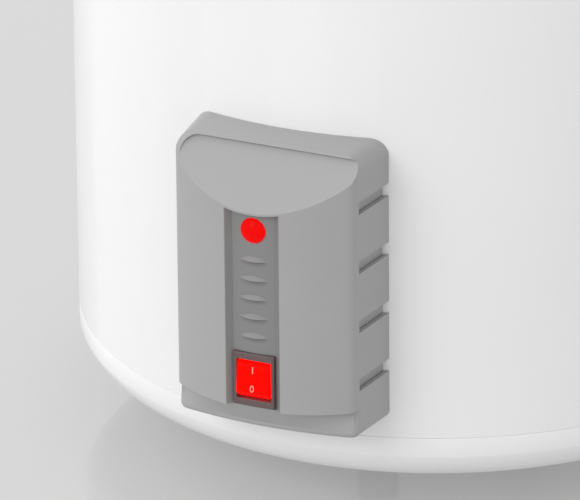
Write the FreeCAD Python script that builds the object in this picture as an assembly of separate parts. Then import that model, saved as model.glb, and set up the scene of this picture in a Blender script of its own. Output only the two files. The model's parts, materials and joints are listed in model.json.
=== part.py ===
import FreeCAD, Part
import math
import os

# Wall-hung electric storage water heater, about 50 litres, with its control cover low on the front.
# Millimetres, +Z up, cover facing -Y, wall on the +Y side.
# It is modelled about the tank's axis, with z = 0 at the underside of the bottom cap, and then
# moved so that the origin is at the middle of the wall bracket's two holes, on the wall plane.

V = FreeCAD.Vector

# Body
TANK_R = 195.0
TANK_H = 700.0
JACKET_T = 0.8
CAP_T = 2.2
CAP_EDGE_R = 28.0
CAP_SEAM_Z = 29.5
CAP_COLLAR = 11.5
SEAM_GAP = 0.4
LAP_W = 9.0
LAP_T = 0.7

# Pressure vessel, with foam all round it
FOAM_T = 27.0
FOAM_OVER = 42.0
VESSEL_T = 1.8
VESSEL_BOTTOM = 38.0
HEAD_DEPTH = 50.0
KNUCKLE_R = 34.0

# Water pipes, G 1/2 male ends
THREAD_R = 10.48
THREAD_LENGTH = 22.0
PIPE_R = 10.0
PIPE_BORE_R = 7.5
PIPE_SPACING = 100.0
PIPE_DROP = 30.0
PIPE_INSIDE = 14.0
STANDPIPE_R = 7.2
STANDPIPE_T = 1.2
STANDPIPE_TOP_GAP = 26.0
COLLAR_R = 17.0
COLLAR_NECK_R = 14.0
COLLAR_T = 3.0
COLLAR_NECK_OVER = 3.0
DIFFUSER_R = 13.0
DIFFUSER_H = 22.0
DIFFUSER_WALL = 1.5
DIFFUSER_LAP = 8.0
DIFFUSER_WINDOW = 6.0
DIFFUSER_SILL = 2.0

# Heater flange, on the front, behind the cover
FLANGE_OVER_MIDDLE = 8.0
NECK_R = 32.0
NECK_T = 2.0
RING_R = 44.0
RING_IN = 19.0
RING_T = 4.0
GASKET_T = 2.0
PLATE_T = 3.0
STUD_R = 3.0
STUD_PCD = 76.0
STUD_COUNT = 5
STUD_OUT = 8.0
NUT_T = 5.0
NUT_AF = 10.0

# Heating element, thermostat pocket and anode, on the flange plate
SHEATH_R = 4.25
SHEATH_SPREAD = 14.0
SHEATH_DROP = 4.0
SHEATH_REACH = 270.0
POCKET_R = 5.0
POCKET_T = 0.7
POCKET_RISE = 16.0
POCKET_REACH = 240.0
ANODE_R = 8.0
ANODE_DROP = 20.0
ANODE_REACH = 220.0
ANODE_STUD_R = 2.5
ANODE_STUD_OUT = 7.0
ANODE_SHOULDER = 6.0
SMALL_NUT_AF = 8.0
ANODE_NUT_T = 4.0
ELEMENT_OUT = 2.0
BEAD_T = 4.0
PIN_OUT = 5.0
TERMINAL_PIN_R = 1.5
BLADE_HALF_T = 0.4
BLADE_HALF_W = 3.15
BLADE_LENGTH = 8.5
EARTH_OUT = 12.0
EARTH_NUT_T = 3.0
EARTH_NUT_GAP = 2.5
TAG_R = 5.0
TAG_T = 1.0
TAG_LENGTH = 10.0
TAG_HALF = 2.0
EARTH_R = 2.5
EARTH_X = -25.0
EARTH_Z = -8.0

# Thermostat
STAT_W = 40.0
STAT_H = 29.0
STAT_D = 24.0
STAT_LOW = 2.0
STAT_STAND = 5.0
STEM_R = 3.9
STEM_REACH = 232.0
SPINDLE_R = 3.0
SPINDLE_OUT = 5.0
SPINDLE_X = 10.0
RESET_R = 2.5
RESET_OUT = 3.0
RESET_X = -10.0
RESET_TRAVEL = 2.0
DIAL_DEPTH = 6.0
DIAL_DOWN = 9.0
DIAL_ROOM = 2.5
DIAL_RECESS = 1.5
STAT_EDGE_R = 2.5
STAT_FOOT = 6.0
STAT_FOOT_IN = 3.0
STAT_FOOT_LOW = 4.0
STAT_FOOT_H = 8.0
STAT_TAB_IN = 7.0
STAT_TAB_OUT = 8.0
STAT_TAB_LOW = 6.0
STAT_TAB_HIGH = 20.0

# Control cover: u is across, v is out from the tank's axis, z is up
COVER_OVER_SEAM = 12.5
COVER_H = 156.0
COVER_HALF = 54.4
COVER_HALF_IN = 7.8
COVER_DRAFT = math.radians(6.4)
COVER_CORNER = 9.5
COVER_LOW_CORNER = 3.5
COVER_EDGE = 7.0
COVER_WALL = 2.5
COVER_BACK_IN = 17.0
FRONT_CENTRE_IN = 36.6
PANEL_R = 81.8
PANEL_STEP = 3.7
STRIP_H = 15.7
FOOT_OUT = 32.2
FOOT_BAND = 3.5
FOOT_ROUND = 2.5
TOP_ROUND = 5.0
CHANNEL_HALF = 15.5
CHANNEL_FLOOR_HALF = 12.2
CHANNEL_LEDGE = 1.5
FACE_TOP_OUT = 19.5
FACE_LOW_OUT = 44.7
FACE_TOP_DOWN = 3.0
FACE_LOW_DOWN = 29.5
FACE_MARGIN = 5.4
FACE_CORNER = 9.0
LIP = 2.2
LIP_RUN = 12.0
VENT_COUNT = 4
VENT_TOP_DOWN = 27.8
VENT_FOOT_UP = 29.5
VENT_H = 7.0
VENT_OUT = 22.5
BAFFLE_GAP = 3.5
BAFFLE_T = 1.5
BAFFLE_OVER = 3.0
RIB_COUNT = 5
RIB_UNDER_LAMP = 16.7
RIB_OVER_SWITCH = 9.2
RIB_HALF = 8.0
RIB_OUT = 1.7
RIB_UPPER = 1.6
RIB_LOWER = 1.2
RIB_NOSE_TOP = 0.5
RIB_NOSE_LOW = 0.3
RIB_ROOT = 0.2

# Rocker switch
SWITCH_UP = 0.6
BEZEL_HALF = 12.2
BEZEL_H = 30.0
BEZEL_T = 2.4
BEZEL_ROUND = 0.8
SWITCH_SEAT = 1.1
SWITCH_BODY_HALF = 11.0
SWITCH_BODY_H = 26.0
SWITCH_DEPTH = 21.0
ROCKER_HALF = 9.75
ROCKER_END_R = 12.6
ROCKER_PIVOT_BACK = 5.6
ROCKER_OUT = 9.3
ROCKER_TILT = 6.5
ROCKER_VEE = 3.5
PIN_R = 1.25
WELL_BEHIND_PIVOT = 7.0
ROCKER_BACK = 4.0
SKIRT_FOOT = 2.0
SKIRT_LEAN = 0.6
SWITCH_TAB_X = 6.0
SWITCH_TAB_Z = 8.0
SWITCH_TAB_OUT = 8.0
SWITCH_TAB_HALF = 2.4

# Signal lamp
LAMP_DOWN = 41.0
LAMP_R = 7.2
LAMP_RIM = 0.9
LAMP_TAB_X = 2.5
LAMP_TAB_HALF_T = 0.3
LAMP_TAB_HALF_W = 1.4
LAMP_TAB_OUT = 3.5
LAMP_OUT = 3.1
LAMP_SEAT = 0.5
LAMP_BODY_R = 5.0
LAMP_BODY_D = 16.0
LAMP_NUT_R = 7.5
LAMP_NUT_T = 3.0

# Service opening, cover bracket and terminal block
OPENING_SIDE_IN = 5.9
OPENING_END_IN = 16.0
OPENING_R = 8.0
RECESS_OVER = 12.0
RECESS_DEPTH = 60.6
SHELF_T = 2.0
SHELF_SIDE_IN = 13.4
SHELF_OUT = 26.0
SHELF_FIT = 0.3
TAB_HALF = 18.0
TAB_H = 11.0
TAB_T = 1.2
HOOK_X = 30.0
HOOK_HALF = 5.0
HOOK_T = 3.0
HOOK_LINK_T = 3.5
HOOK_TONGUE_T = 2.5
HOOK_STAND = 0.8
HOOK_DROP = 6.0
HOOK_RISE = 7.0
HOOK_ROOT = 0.5
COVER_SCREW_X = 30.0
COVER_SCREW_OUT = 14.0
COVER_SCREW_R = 1.75
COVER_SCREW_TIP = 3.0
COVER_SCREW_HEAD_R = 3.6
COVER_SCREW_HEAD_T = 2.2
COVER_SCREW_HEAD_ROUND = 1.2
CROSS_HALF = 2.2
CROSS_HALF_T = 0.4
CROSS_DEPTH = 1.2
RIVET_X = 5.0
RIVET_R = 1.6
RIVET_HEAD_R = 3.0
RIVET_HEAD_T = 1.25
RIVET_BEHIND = 1.5
RIVET_ROOM = 3.0
BLOCK_X = 0.0
BLOCK_W = 30.0
BLOCK_OUT = 8.0
BLOCK_D = 15.0
BLOCK_H = 13.0
BLOCK_GROOVE_HALF = 0.8
BLOCK_GROOVE_DEPTH = 7.0
POLE_PITCH = 10.0
POLE_BORE_R = 1.8
POLE_UP = 4.5
POLE_SCREW_R = 1.5
POLE_SCREW_BORE_R = 1.6
POLE_SCREW_IN = 3.5
POLE_SCREW_LOW = 7.0
POLE_SCREW_SUNK = 2.0
SLOT_HALF_T = 0.3
SLOT_DEPTH = 1.0

# Cable entry
GLAND_V = 80.0
GLAND_BORE_R = 4.2
SEAL_T = 1.2
GLAND_THREAD_R = 7.6
GLAND_HEX_AF = 19.0
GLAND_HEX_T = 4.0
GLAND_DROP = 18.0
GLAND_NOSE_IN = 0.4
GLAND_LIP = 5.0
GLAND_UP = 12.0
SEAL_TOP = 2.0
LOCKNUT_AF = 20.0
LOCKNUT_T = 4.5
CONDUIT_R = 7.0
CONDUIT_BORE_R = 5.5
CONDUIT_Z = 26.0
CONDUIT_IN = 14.0
CONDUIT_BEND = 11.0
CONDUIT_OVER_SILL = 2.0

# Wall bracket and rear spacer
WALL_GAP = 22.0
BRACKET_DOWN = 180.0
BRACKET_HALF = 120.0
BRACKET_H = 44.0
BRACKET_T = 3.0
BRACKET_LEG_X = 60.0
BRACKET_HOLE_R = 6.0
BRACKET_HOLE_SPACING = 200.0
BRACKET_CORNER_R = 8.0
SPACER_Z = 110.0
SPACER_HALF = 22.0
SPACER_H = 40.0
SPACER_CORNER_R = 5.0

# Fits
FOAM_FIT = 0.1
NUT_ROOM = 0.25
SEAT_FIT = 0.15
HOLE_FIT = 0.2
RUNNING_FIT = 0.05
MOVING_GAP = 0.4
PIN_FIT = 0.2
SEAT_LAP = 0.5
TOOL_OVER = 1.0

# Wires: a lead starts WIRE_OFF short of its blade
WIRE_R = 1.1
WIRE_BEND = 3.2
WIRE_OFF = 0.2
WIRE_BEHIND_BLOCK = 3.8
WIRE_IN_BLOCK = 2.0
WIRE_BACK = 6.0
WIRE_NEAR_X = 24.0
WIRE_NEAR_UP = 7.0
WIRE_SWING_X = 36.0
WIRE_SWING_BACK = 3.0
WIRE_SWING_UP = 30.0
WIRE_LOOP = 12.0
WIRE_LOOP_BACK = 9.0
WIRE_DIP = 1.0
EARTH_WIRE_UP = 11.0
EARTH_WIRE_RISE = 19.0
EARTH_WIRE_SWING = 15.0

# Places that follow from the sizes
VESSEL_R = TANK_R - FOAM_T
VESSEL_TOP = TANK_H - FOAM_OVER
WALL_Y = TANK_R + WALL_GAP
BRACKET_Z = TANK_H - BRACKET_DOWN
COVER_BOTTOM = CAP_SEAM_Z + COVER_OVER_SEAM
COVER_TOP = COVER_BOTTOM + COVER_H
COVER_BACK = TANK_R - COVER_BACK_IN
FRONT_CENTRE = TANK_R - FRONT_CENTRE_IN
PANEL_BOTTOM = COVER_BOTTOM + STRIP_H
FOOT_R = TANK_R + FOOT_OUT
FACE_TOP_V = TANK_R + FACE_TOP_OUT
FACE_TOP_Z = COVER_TOP - FACE_TOP_DOWN
FACE_LOW_V = TANK_R + FACE_LOW_OUT
FACE_LOW_Z = COVER_TOP - FACE_LOW_DOWN
FACE_HALF = COVER_HALF - FACE_MARGIN
SWITCH_Z = PANEL_BOTTOM + SWITCH_UP + BEZEL_H / 2
LAMP_Z = COVER_TOP - LAMP_DOWN
RIB_TOP_Z = LAMP_Z - RIB_UNDER_LAMP
RIB_PITCH = (RIB_TOP_Z - SWITCH_Z - BEZEL_H / 2 - RIB_OVER_SWITCH) / (RIB_COUNT - 1)
VENT_TOP_Z = COVER_TOP - VENT_TOP_DOWN
VENT_PITCH = (VENT_TOP_Z - COVER_BOTTOM - VENT_FOOT_UP) / (VENT_COUNT - 1)
VENT_FRONT = TANK_R + VENT_OUT
OPENING_HALF = COVER_HALF - OPENING_SIDE_IN
OPENING_LOW = COVER_BOTTOM + OPENING_END_IN
OPENING_HIGH = COVER_TOP - OPENING_END_IN
RECESS_BACK = TANK_R - RECESS_DEPTH
FLANGE_Z = (OPENING_LOW + OPENING_HIGH) / 2 + FLANGE_OVER_MIDDLE
RING_BACK = TANK_R - RING_IN
SHELF_HALF = COVER_HALF - SHELF_SIDE_IN
SHELF_FRONT = TANK_R + SHELF_OUT
COVER_SCREW_V = TANK_R + COVER_SCREW_OUT
BLOCK_V = TANK_R + BLOCK_OUT
CONDUIT_V = TANK_R - CONDUIT_IN
FRONT_R = PANEL_R - PANEL_STEP
SHELF_Z = COVER_BOTTOM + COVER_WALL
RING_FACE = RING_BACK + RING_T
PLATE_BACK = RING_FACE + GASKET_T
PLATE_FACE = PLATE_BACK + PLATE_T
SEAT_V = FRONT_CENTRE + FRONT_R
SWITCH_FLOOR = SEAT_V - SWITCH_SEAT
BEZEL_FACE = SWITCH_FLOOR + BEZEL_T
PIVOT_V = SWITCH_FLOOR - ROCKER_PIVOT_BACK
LAMP_FLOOR = SEAT_V - LAMP_SEAT
STAT_BACK = PLATE_FACE + STAT_STAND
STAT_FACE = STAT_BACK + STAT_D
STAT_Z = FLANGE_Z + STAT_LOW


def box(x0, x1, y0, y1, z0, z1):
    return Part.makeBox(x1 - x0, y1 - y0, z1 - z0, V(x0, y0, z0))


def front_box(u0, u1, v0, v1, z0, z1):
    """A box given by its distances v out from the tank's axis towards the front."""
    return box(u0, u1, -v1, -v0, z0, z1)


def rod_z(radius, z0, z1, x=0.0, y=0.0):
    return Part.makeCylinder(radius, z1 - z0, V(x, y, z0), V(0, 0, 1))


def tube_z(radius, bore, z0, z1, x=0.0, y=0.0):
    return rod_z(radius, z0, z1, x, y).cut(rod_z(bore, z0 - 1, z1 + 1, x, y))


def rod_v(radius, v0, v1, u, z):
    """A rod along v, from v0 out to v1."""
    return Part.makeCylinder(radius, v1 - v0, V(u, -v0, z), V(0, -1, 0))


def tube_v(radius, bore, v0, v1, u, z):
    return rod_v(radius, v0, v1, u, z).cut(rod_v(bore, v0 - 1, v1 + 1, u, z))


def hexagon(across_flats, length, centre, axis):
    """A hexagonal prism that starts at centre and runs along axis."""
    corner = across_flats / math.sqrt(3.0)
    side = V(1, 0, 0)
    up = axis.cross(side)
    points = []
    for k in range(7):
        angle = math.radians(60.0 * k + 30.0)
        points.append(centre + side * (corner * math.cos(angle)) + up * (corner * math.sin(angle)))
    return Part.Face(Part.makePolygon(points)).extrude(axis * length)


def hex_nut_v(across_flats, thickness, bore, v0, u, z):
    nut = hexagon(across_flats, thickness, V(u, -v0, z), V(0, -1, 0))
    return nut.cut(rod_v(bore, v0 - 1, v0 + thickness + 1, u, z))


def rounded_rectangle(half_w, z0, z1, low_r, high_r, v):
    """A closed wire in the plane at distance v, with two round corners below and two above."""
    y = -v
    a = half_w
    low_in, high_in = low_r * (1.0 - math.sqrt(0.5)), high_r * (1.0 - math.sqrt(0.5))
    b, c = a - low_r, a - high_r
    lines = [
        Part.makeLine(V(-b, y, z0), V(b, y, z0)),
        Part.Arc(V(b, y, z0), V(a - low_in, y, z0 + low_in), V(a, y, z0 + low_r)).toShape(),
        Part.makeLine(V(a, y, z0 + low_r), V(a, y, z1 - high_r)),
        Part.Arc(V(a, y, z1 - high_r), V(a - high_in, y, z1 - high_in), V(c, y, z1)).toShape(),
        Part.makeLine(V(c, y, z1), V(-c, y, z1)),
        Part.Arc(V(-c, y, z1), V(high_in - a, y, z1 - high_in), V(-a, y, z1 - high_r)).toShape(),
        Part.makeLine(V(-a, y, z1 - high_r), V(-a, y, z0 + low_r)),
        Part.Arc(V(-a, y, z0 + low_r), V(low_in - a, y, z0 + low_in), V(-b, y, z0)).toShape(),
    ]
    return Part.Wire(lines)


def arc_about(centre, radius, start_deg, end_deg):
    """An arc in the radius-height plane, in the order that it is walked."""
    def at(degrees):
        angle = math.radians(degrees)
        return centre + V(radius * math.cos(angle), 0, radius * math.sin(angle))
    return Part.Arc(at(start_deg), at(0.5 * (start_deg + end_deg)), at(end_deg)).toShape()


def spin(edges, centre=V(0, 0, 0)):
    """Turns a closed outline in the radius-height plane about the vertical line through centre."""
    face = Part.Face(Part.Wire(edges))
    face.translate(centre)
    return face.revolve(centre, V(0, 0, 1), 360)


def path_wire(points, bend):
    """Straight runs through the points, joined by tangent arcs of one radius."""
    edges = []
    here = points[0]
    for before, corner, after in zip(points, points[1:], points[2:]):
        back = (before - corner).normalize()
        ahead = (after - corner).normalize()
        half_turn = (math.pi - back.getAngle(ahead)) / 2.0
        reach = bend * math.tan(half_turn)
        start = corner + back * reach
        end = corner + ahead * reach
        middle = (back + ahead).normalize()
        apex = corner + middle * (bend / math.cos(half_turn) - bend)
        edges.append(Part.makeLine(here, start))
        edges.append(Part.Arc(start, apex, end).toShape())
        here = end
    edges.append(Part.makeLine(here, points[-1]))
    return Part.Wire(edges)


def swept_rod(points, radius, bend):
    wire = path_wire(points, bend)
    circle = Part.Wire(Part.makeCircle(radius, points[0], points[1] - points[0]))
    return wire.makePipeShell([circle], True, False)


def front_points(points):
    """Turns (u, v, z) places into points."""
    return [V(u, -v, z) for u, v, z in points]


# Outer body

def cap(underside):
    """A moulded end cap whose collar slips inside the jacket."""
    inner_edge = CAP_EDGE_R - CAP_T
    centre = V(TANK_R - CAP_EDGE_R, 0, CAP_EDGE_R)
    collar_r = TANK_R - JACKET_T - SEAT_FIT
    inner_r = TANK_R - CAP_T
    collar_top = CAP_SEAM_Z + CAP_COLLAR
    shell = spin([
        Part.makeLine(V(0, 0, 0), V(TANK_R - CAP_EDGE_R, 0, 0)),
        arc_about(centre, CAP_EDGE_R, -90, 0),
        Part.makeLine(V(TANK_R, 0, CAP_EDGE_R), V(TANK_R, 0, CAP_SEAM_Z)),
        Part.makeLine(V(TANK_R, 0, CAP_SEAM_Z), V(collar_r, 0, CAP_SEAM_Z)),
        Part.makeLine(V(collar_r, 0, CAP_SEAM_Z), V(collar_r, 0, collar_top)),
        Part.makeLine(V(collar_r, 0, collar_top), V(inner_r, 0, collar_top)),
        Part.makeLine(V(inner_r, 0, collar_top), V(inner_r, 0, CAP_EDGE_R)),
        arc_about(centre, inner_edge, 0, -90),
        Part.makeLine(V(TANK_R - CAP_EDGE_R, 0, CAP_T), V(0, 0, CAP_T)),
        Part.makeLine(V(0, 0, CAP_T), V(0, 0, 0)),
    ])
    if underside:
        for x in (-PIPE_SPACING / 2, PIPE_SPACING / 2):
            shell = shell.cut(rod_z(COLLAR_NECK_R + HOLE_FIT, -1, CAP_T + 1, x))
        return shell.cut(rod_z(GLAND_THREAD_R + HOLE_FIT, -1, CAP_T + 1, 0, -GLAND_V))
    shell.rotate(V(0, 0, 0), V(1, 0, 0), 180)
    shell.translate(V(0, 0, TANK_H))
    return shell


def service_opening(grow, v0, v1, rise=0.0):
    low, high = OPENING_LOW - grow, OPENING_HIGH + grow + rise
    wire = rounded_rectangle(OPENING_HALF + grow, low, high, OPENING_R, OPENING_R, v0)
    return Part.Face(wire).extrude(V(0, v0 - v1, 0))


def bracket_slots(clearance):
    """The two upright slots that the bracket's legs pass through."""
    half = BRACKET_H / 2 + clearance
    slots = []
    for side in (-1, 1):
        x0 = side * BRACKET_LEG_X - BRACKET_T / 2 - clearance
        slots.append(box(x0, x0 + BRACKET_T + 2 * clearance, 0, WALL_Y,
                         BRACKET_Z - half, BRACKET_Z + half))
    return slots[0].fuse(slots[1])


def outer_jacket():
    low = CAP_SEAM_Z + SEAM_GAP
    high = TANK_H - CAP_SEAM_Z - SEAM_GAP
    jacket = tube_z(TANK_R, TANK_R - JACKET_T, low, high)
    lap = tube_z(TANK_R + LAP_T, TANK_R - JACKET_T / 2, low, high)
    lap = lap.common(box(-LAP_W / 2, LAP_W / 2, 0, WALL_Y, low, high))
    jacket = jacket.fuse(lap).removeSplitter()
    jacket = jacket.cut(service_opening(0.0, RECESS_BACK, WALL_Y))
    for side in (-1, 1):
        jacket = jacket.cut(rod_v(RIVET_R + RUNNING_FIT, RECESS_BACK, WALL_Y, side * RIVET_X, rivet_z()))
    return jacket.cut(bracket_slots(HOLE_FIT))


def foam_insulation():
    """Foam that fills the space between the vessel and the outer body."""
    gap = FOAM_FIT
    inner_edge = CAP_EDGE_R - CAP_T - gap
    out_r = TANK_R - CAP_T - gap
    low, high = CAP_T + gap, TANK_H - CAP_T - gap
    step_low = CAP_SEAM_Z + CAP_COLLAR + gap
    step_high = TANK_H - step_low
    wide_r = TANK_R - JACKET_T - gap
    flat_r = TANK_R - CAP_EDGE_R
    block = spin([
        Part.makeLine(V(0, 0, low), V(flat_r, 0, low)),
        arc_about(V(flat_r, 0, CAP_EDGE_R), inner_edge, -90, 0),
        Part.makeLine(V(out_r, 0, CAP_EDGE_R), V(out_r, 0, step_low)),
        Part.makeLine(V(out_r, 0, step_low), V(wide_r, 0, step_low)),
        Part.makeLine(V(wide_r, 0, step_low), V(wide_r, 0, step_high)),
        Part.makeLine(V(wide_r, 0, step_high), V(out_r, 0, step_high)),
        Part.makeLine(V(out_r, 0, step_high), V(out_r, 0, TANK_H - CAP_EDGE_R)),
        arc_about(V(flat_r, 0, TANK_H - CAP_EDGE_R), inner_edge, 0, 90),
        Part.makeLine(V(flat_r, 0, high), V(0, 0, high)),
        Part.makeLine(V(0, 0, high), V(0, 0, low)),
    ])
    block = block.cut(vessel_envelope(gap))
    for x in (-PIPE_SPACING / 2, PIPE_SPACING / 2):
        block = block.cut(rod_z(PIPE_R + gap, 0, VESSEL_TOP / 2, x))
        block = block.cut(rod_z(COLLAR_NECK_R + gap, 0, collar_neck_top() + gap, x))
    block = block.cut(rod_z(LOCKNUT_AF / math.sqrt(3.0) + NUT_ROOM, 0, GLAND_UP + gap, 0, -GLAND_V))
    block = block.cut(conduit_rod(CONDUIT_R + gap))
    block = block.cut(service_opening(gap, RECESS_BACK, WALL_Y, RECESS_OVER))
    for side in (-1, 1):
        block = block.cut(rod_v(RIVET_R + gap, rivet_back() - RIVET_ROOM, WALL_Y, side * RIVET_X, rivet_z()))
    return block.cut(bracket_slots(gap))


# Pressure vessel

def head_outline(knuckle, crown, depth_centre, tangent_z):
    """Centres and the meeting point of the knuckle and crown arcs of a dished end."""
    knuckle_centre = V(VESSEL_R - KNUCKLE_R, 0, tangent_z)
    crown_centre = V(0, 0, depth_centre)
    away = (knuckle_centre - crown_centre).normalize()
    return knuckle_centre, crown_centre, crown_centre + away * crown, knuckle_centre + V(knuckle, 0, 0)


def crown_radius():
    reach = VESSEL_R - KNUCKLE_R
    return (reach ** 2 + HEAD_DEPTH ** 2 - KNUCKLE_R ** 2) / (2 * (HEAD_DEPTH - KNUCKLE_R))


def dished_solid(shrink, tangent_z):
    """The solid dish below tangent_z, its surface moved in by shrink, opening upwards."""
    crown = crown_radius() - shrink
    knuckle = KNUCKLE_R - shrink
    crown_z = tangent_z - HEAD_DEPTH + crown_radius()
    k_centre, c_centre, meet, rim = head_outline(knuckle, crown, crown_z, tangent_z)
    lowest = V(0, 0, crown_z - crown)
    start = math.degrees(math.atan2(meet.z - k_centre.z, meet.x - k_centre.x))
    return spin([
        arc_about(c_centre, crown, -90, start),
        arc_about(k_centre, knuckle, start, 0),
        Part.makeLine(rim, V(0, 0, tangent_z)),
        Part.makeLine(V(0, 0, tangent_z), lowest),
    ])


def upside_down(shape):
    """The same dish at the upper end of the vessel."""
    middle = (VESSEL_BOTTOM + VESSEL_TOP) / 2
    shape.rotate(V(0, 0, middle), V(1, 0, 0), 180)
    return shape


def vessel_tangents():
    return VESSEL_BOTTOM + HEAD_DEPTH, VESSEL_TOP - HEAD_DEPTH


def vessel_envelope(grow):
    low, high = vessel_tangents()
    body = rod_z(VESSEL_R + grow, low - 1, high + 1)
    return body.fuse([dished_solid(-grow, low), upside_down(dished_solid(-grow, low))])


def tank_shell():
    low, high = vessel_tangents()
    shell = tube_z(VESSEL_R, VESSEL_R - VESSEL_T, low, high)
    return shell.cut(rod_v(NECK_R - NECK_T, 0, WALL_Y, 0, FLANGE_Z))


def tank_head(upper):
    low = vessel_tangents()[0]
    head = dished_solid(0, low).cut(dished_solid(VESSEL_T, low))
    if upper:
        return upside_down(head)
    for x in (-PIPE_SPACING / 2, PIPE_SPACING / 2):
        head = head.cut(rod_z(PIPE_R + RUNNING_FIT, 0, low, x))
    return head


def pipe_top():
    return VESSEL_BOTTOM + PIPE_INSIDE


def water_nipple(x):
    """A welded nipple with its male thread, drawn at the thread's outside diameter, at the free end."""
    thread = rod_z(THREAD_R, -PIPE_DROP, THREAD_LENGTH - PIPE_DROP, x)
    pipe = rod_z(PIPE_R, THREAD_LENGTH - PIPE_DROP, pipe_top(), x)
    return thread.fuse(pipe).cut(rod_z(PIPE_BORE_R, -PIPE_DROP - 1, pipe_top() + 1, x))


def cold_diffuser(x):
    """A cap with side windows that spreads the cold inflow sideways."""
    low = pipe_top() - DIFFUSER_LAP
    high = low + DIFFUSER_H
    roof = high - DIFFUSER_WALL
    cup = tube_z(DIFFUSER_R, PIPE_R + RUNNING_FIT, low, roof, x)
    cup = cup.fuse(rod_z(DIFFUSER_R, roof, high, x)).removeSplitter()
    reach, half = DIFFUSER_R + TOOL_OVER, DIFFUSER_WINDOW / 2
    for k in range(3):
        window = box(-reach, reach, -half, half, pipe_top() + DIFFUSER_SILL, roof - DIFFUSER_SILL)
        window.rotate(V(0, 0, 0), V(0, 0, 1), 60 * k)
        window.translate(V(x, 0, 0))
        cup = cup.cut(window)
    return cup


def hot_standpipe(x):
    top = VESSEL_TOP - VESSEL_T - STANDPIPE_TOP_GAP
    return tube_z(STANDPIPE_R, STANDPIPE_R - STANDPIPE_T, -PIPE_DROP / 2, top, x)


def collar_neck_top():
    return CAP_T + COLLAR_NECK_OVER


def pipe_collar(x):
    flange = tube_z(COLLAR_R, PIPE_R + RUNNING_FIT, -COLLAR_T, 0, x)
    neck = tube_z(COLLAR_NECK_R, PIPE_R + RUNNING_FIT, 0, collar_neck_top(), x)
    return flange.fuse(neck).removeSplitter()


# Heater flange and what it carries

def stud_places(pcd=STUD_PCD):
    places = []
    for k in range(STUD_COUNT):
        angle = math.radians(90.0 + 360.0 * k / STUD_COUNT)
        places.append((pcd / 2 * math.cos(angle), FLANGE_Z + pcd / 2 * math.sin(angle)))
    return places


def flange_neck():
    pipe = tube_v(NECK_R, NECK_R - NECK_T, 0, RING_FACE, 0, FLANGE_Z)
    pipe = pipe.cut(rod_z(VESSEL_R, 0, VESSEL_TOP))
    ring = tube_v(RING_R, NECK_R - NECK_T, RING_BACK, RING_FACE, 0, FLANGE_Z)
    neck = pipe.fuse(ring).removeSplitter()
    for u, z in stud_places():
        neck = neck.cut(rod_v(STUD_R, RING_BACK - 1, RING_FACE + 1, u, z))
    return neck


def flange_studs():
    end = PLATE_FACE + STUD_OUT
    return Part.makeCompound([rod_v(STUD_R, RING_BACK, end, u, z) for u, z in stud_places()])


def flange_gasket():
    gasket = tube_v(RING_R, NECK_R - NECK_T, RING_FACE, PLATE_BACK, 0, FLANGE_Z)
    for u, z in stud_places():
        gasket = gasket.cut(rod_v(STUD_R + HOLE_FIT, RING_FACE - 1, PLATE_BACK + 1, u, z))
    return gasket


def flange_plate():
    plate = rod_v(RING_R, PLATE_BACK, PLATE_FACE, 0, FLANGE_Z)
    holes = [(STUD_R + HOLE_FIT, u, z) for u, z in stud_places()]
    for side in (-1, 1):
        holes.append((SHEATH_R, side * SHEATH_SPREAD, FLANGE_Z - SHEATH_DROP))
    holes.append((POCKET_R, 0, FLANGE_Z + POCKET_RISE))
    holes.append((ANODE_STUD_R, 0, FLANGE_Z - ANODE_DROP))
    holes.append((EARTH_R, EARTH_X, FLANGE_Z + EARTH_Z))
    for radius, u, z in holes:
        plate = plate.cut(rod_v(radius, PLATE_BACK - 1, PLATE_FACE + 1, u, z))
    return plate


def flange_nuts():
    return Part.makeCompound([hex_nut_v(NUT_AF, NUT_T, STUD_R, PLATE_FACE, u, z) for u, z in stud_places()])


def heating_element():
    """A hairpin of sheathed tube whose two ends pass through the plate."""
    z = FLANGE_Z - SHEATH_DROP
    end = PLATE_FACE + ELEMENT_OUT
    legs = []
    far = PLATE_BACK - SHEATH_REACH + SHEATH_SPREAD
    for side in (-1, 1):
        legs.append(rod_v(SHEATH_R, far, end, side * SHEATH_SPREAD, z))
    bend = Part.makeTorus(SHEATH_SPREAD, SHEATH_R, V(0, -far, z), V(0, 0, 1))
    half = SHEATH_SPREAD + SHEATH_R + TOOL_OVER
    bend = bend.common(front_box(-half, half, far - half, far, z - half, z + half))
    return legs[0].fuse([legs[1], bend]).removeSplitter()


def element_places():
    return [(side * SHEATH_SPREAD, FLANGE_Z - SHEATH_DROP) for side in (-1, 1)]


def blade_tip():
    return PLATE_FACE + ELEMENT_OUT + BEAD_T + SEAT_LAP + BLADE_LENGTH


def element_insulators():
    start = PLATE_FACE + ELEMENT_OUT
    pieces = []
    for u, z in element_places():
        pieces.append(tube_v(SHEATH_R, TERMINAL_PIN_R, start, start + BEAD_T, u, z))
    return Part.makeCompound(pieces)


def element_tabs():
    start = PLATE_FACE + ELEMENT_OUT
    pieces = []
    for u, z in element_places():
        pin = rod_v(TERMINAL_PIN_R, start, start + PIN_OUT, u, z)
        tab = front_box(u - BLADE_HALF_T, u + BLADE_HALF_T, blade_tip() - BLADE_LENGTH, blade_tip(),
                        z - BLADE_HALF_W, z + BLADE_HALF_W)
        pieces.append(pin.fuse(tab))
    return Part.makeCompound(pieces)


def thermostat_pocket():
    """A closed tube in the water that holds the thermostat's stem."""
    z = FLANGE_Z + POCKET_RISE
    inner = PLATE_BACK - POCKET_REACH
    tube = rod_v(POCKET_R, inner, PLATE_FACE, 0, z)
    return tube.cut(rod_v(POCKET_R - POCKET_T, inner + POCKET_T, PLATE_FACE + 1, 0, z))


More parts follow.
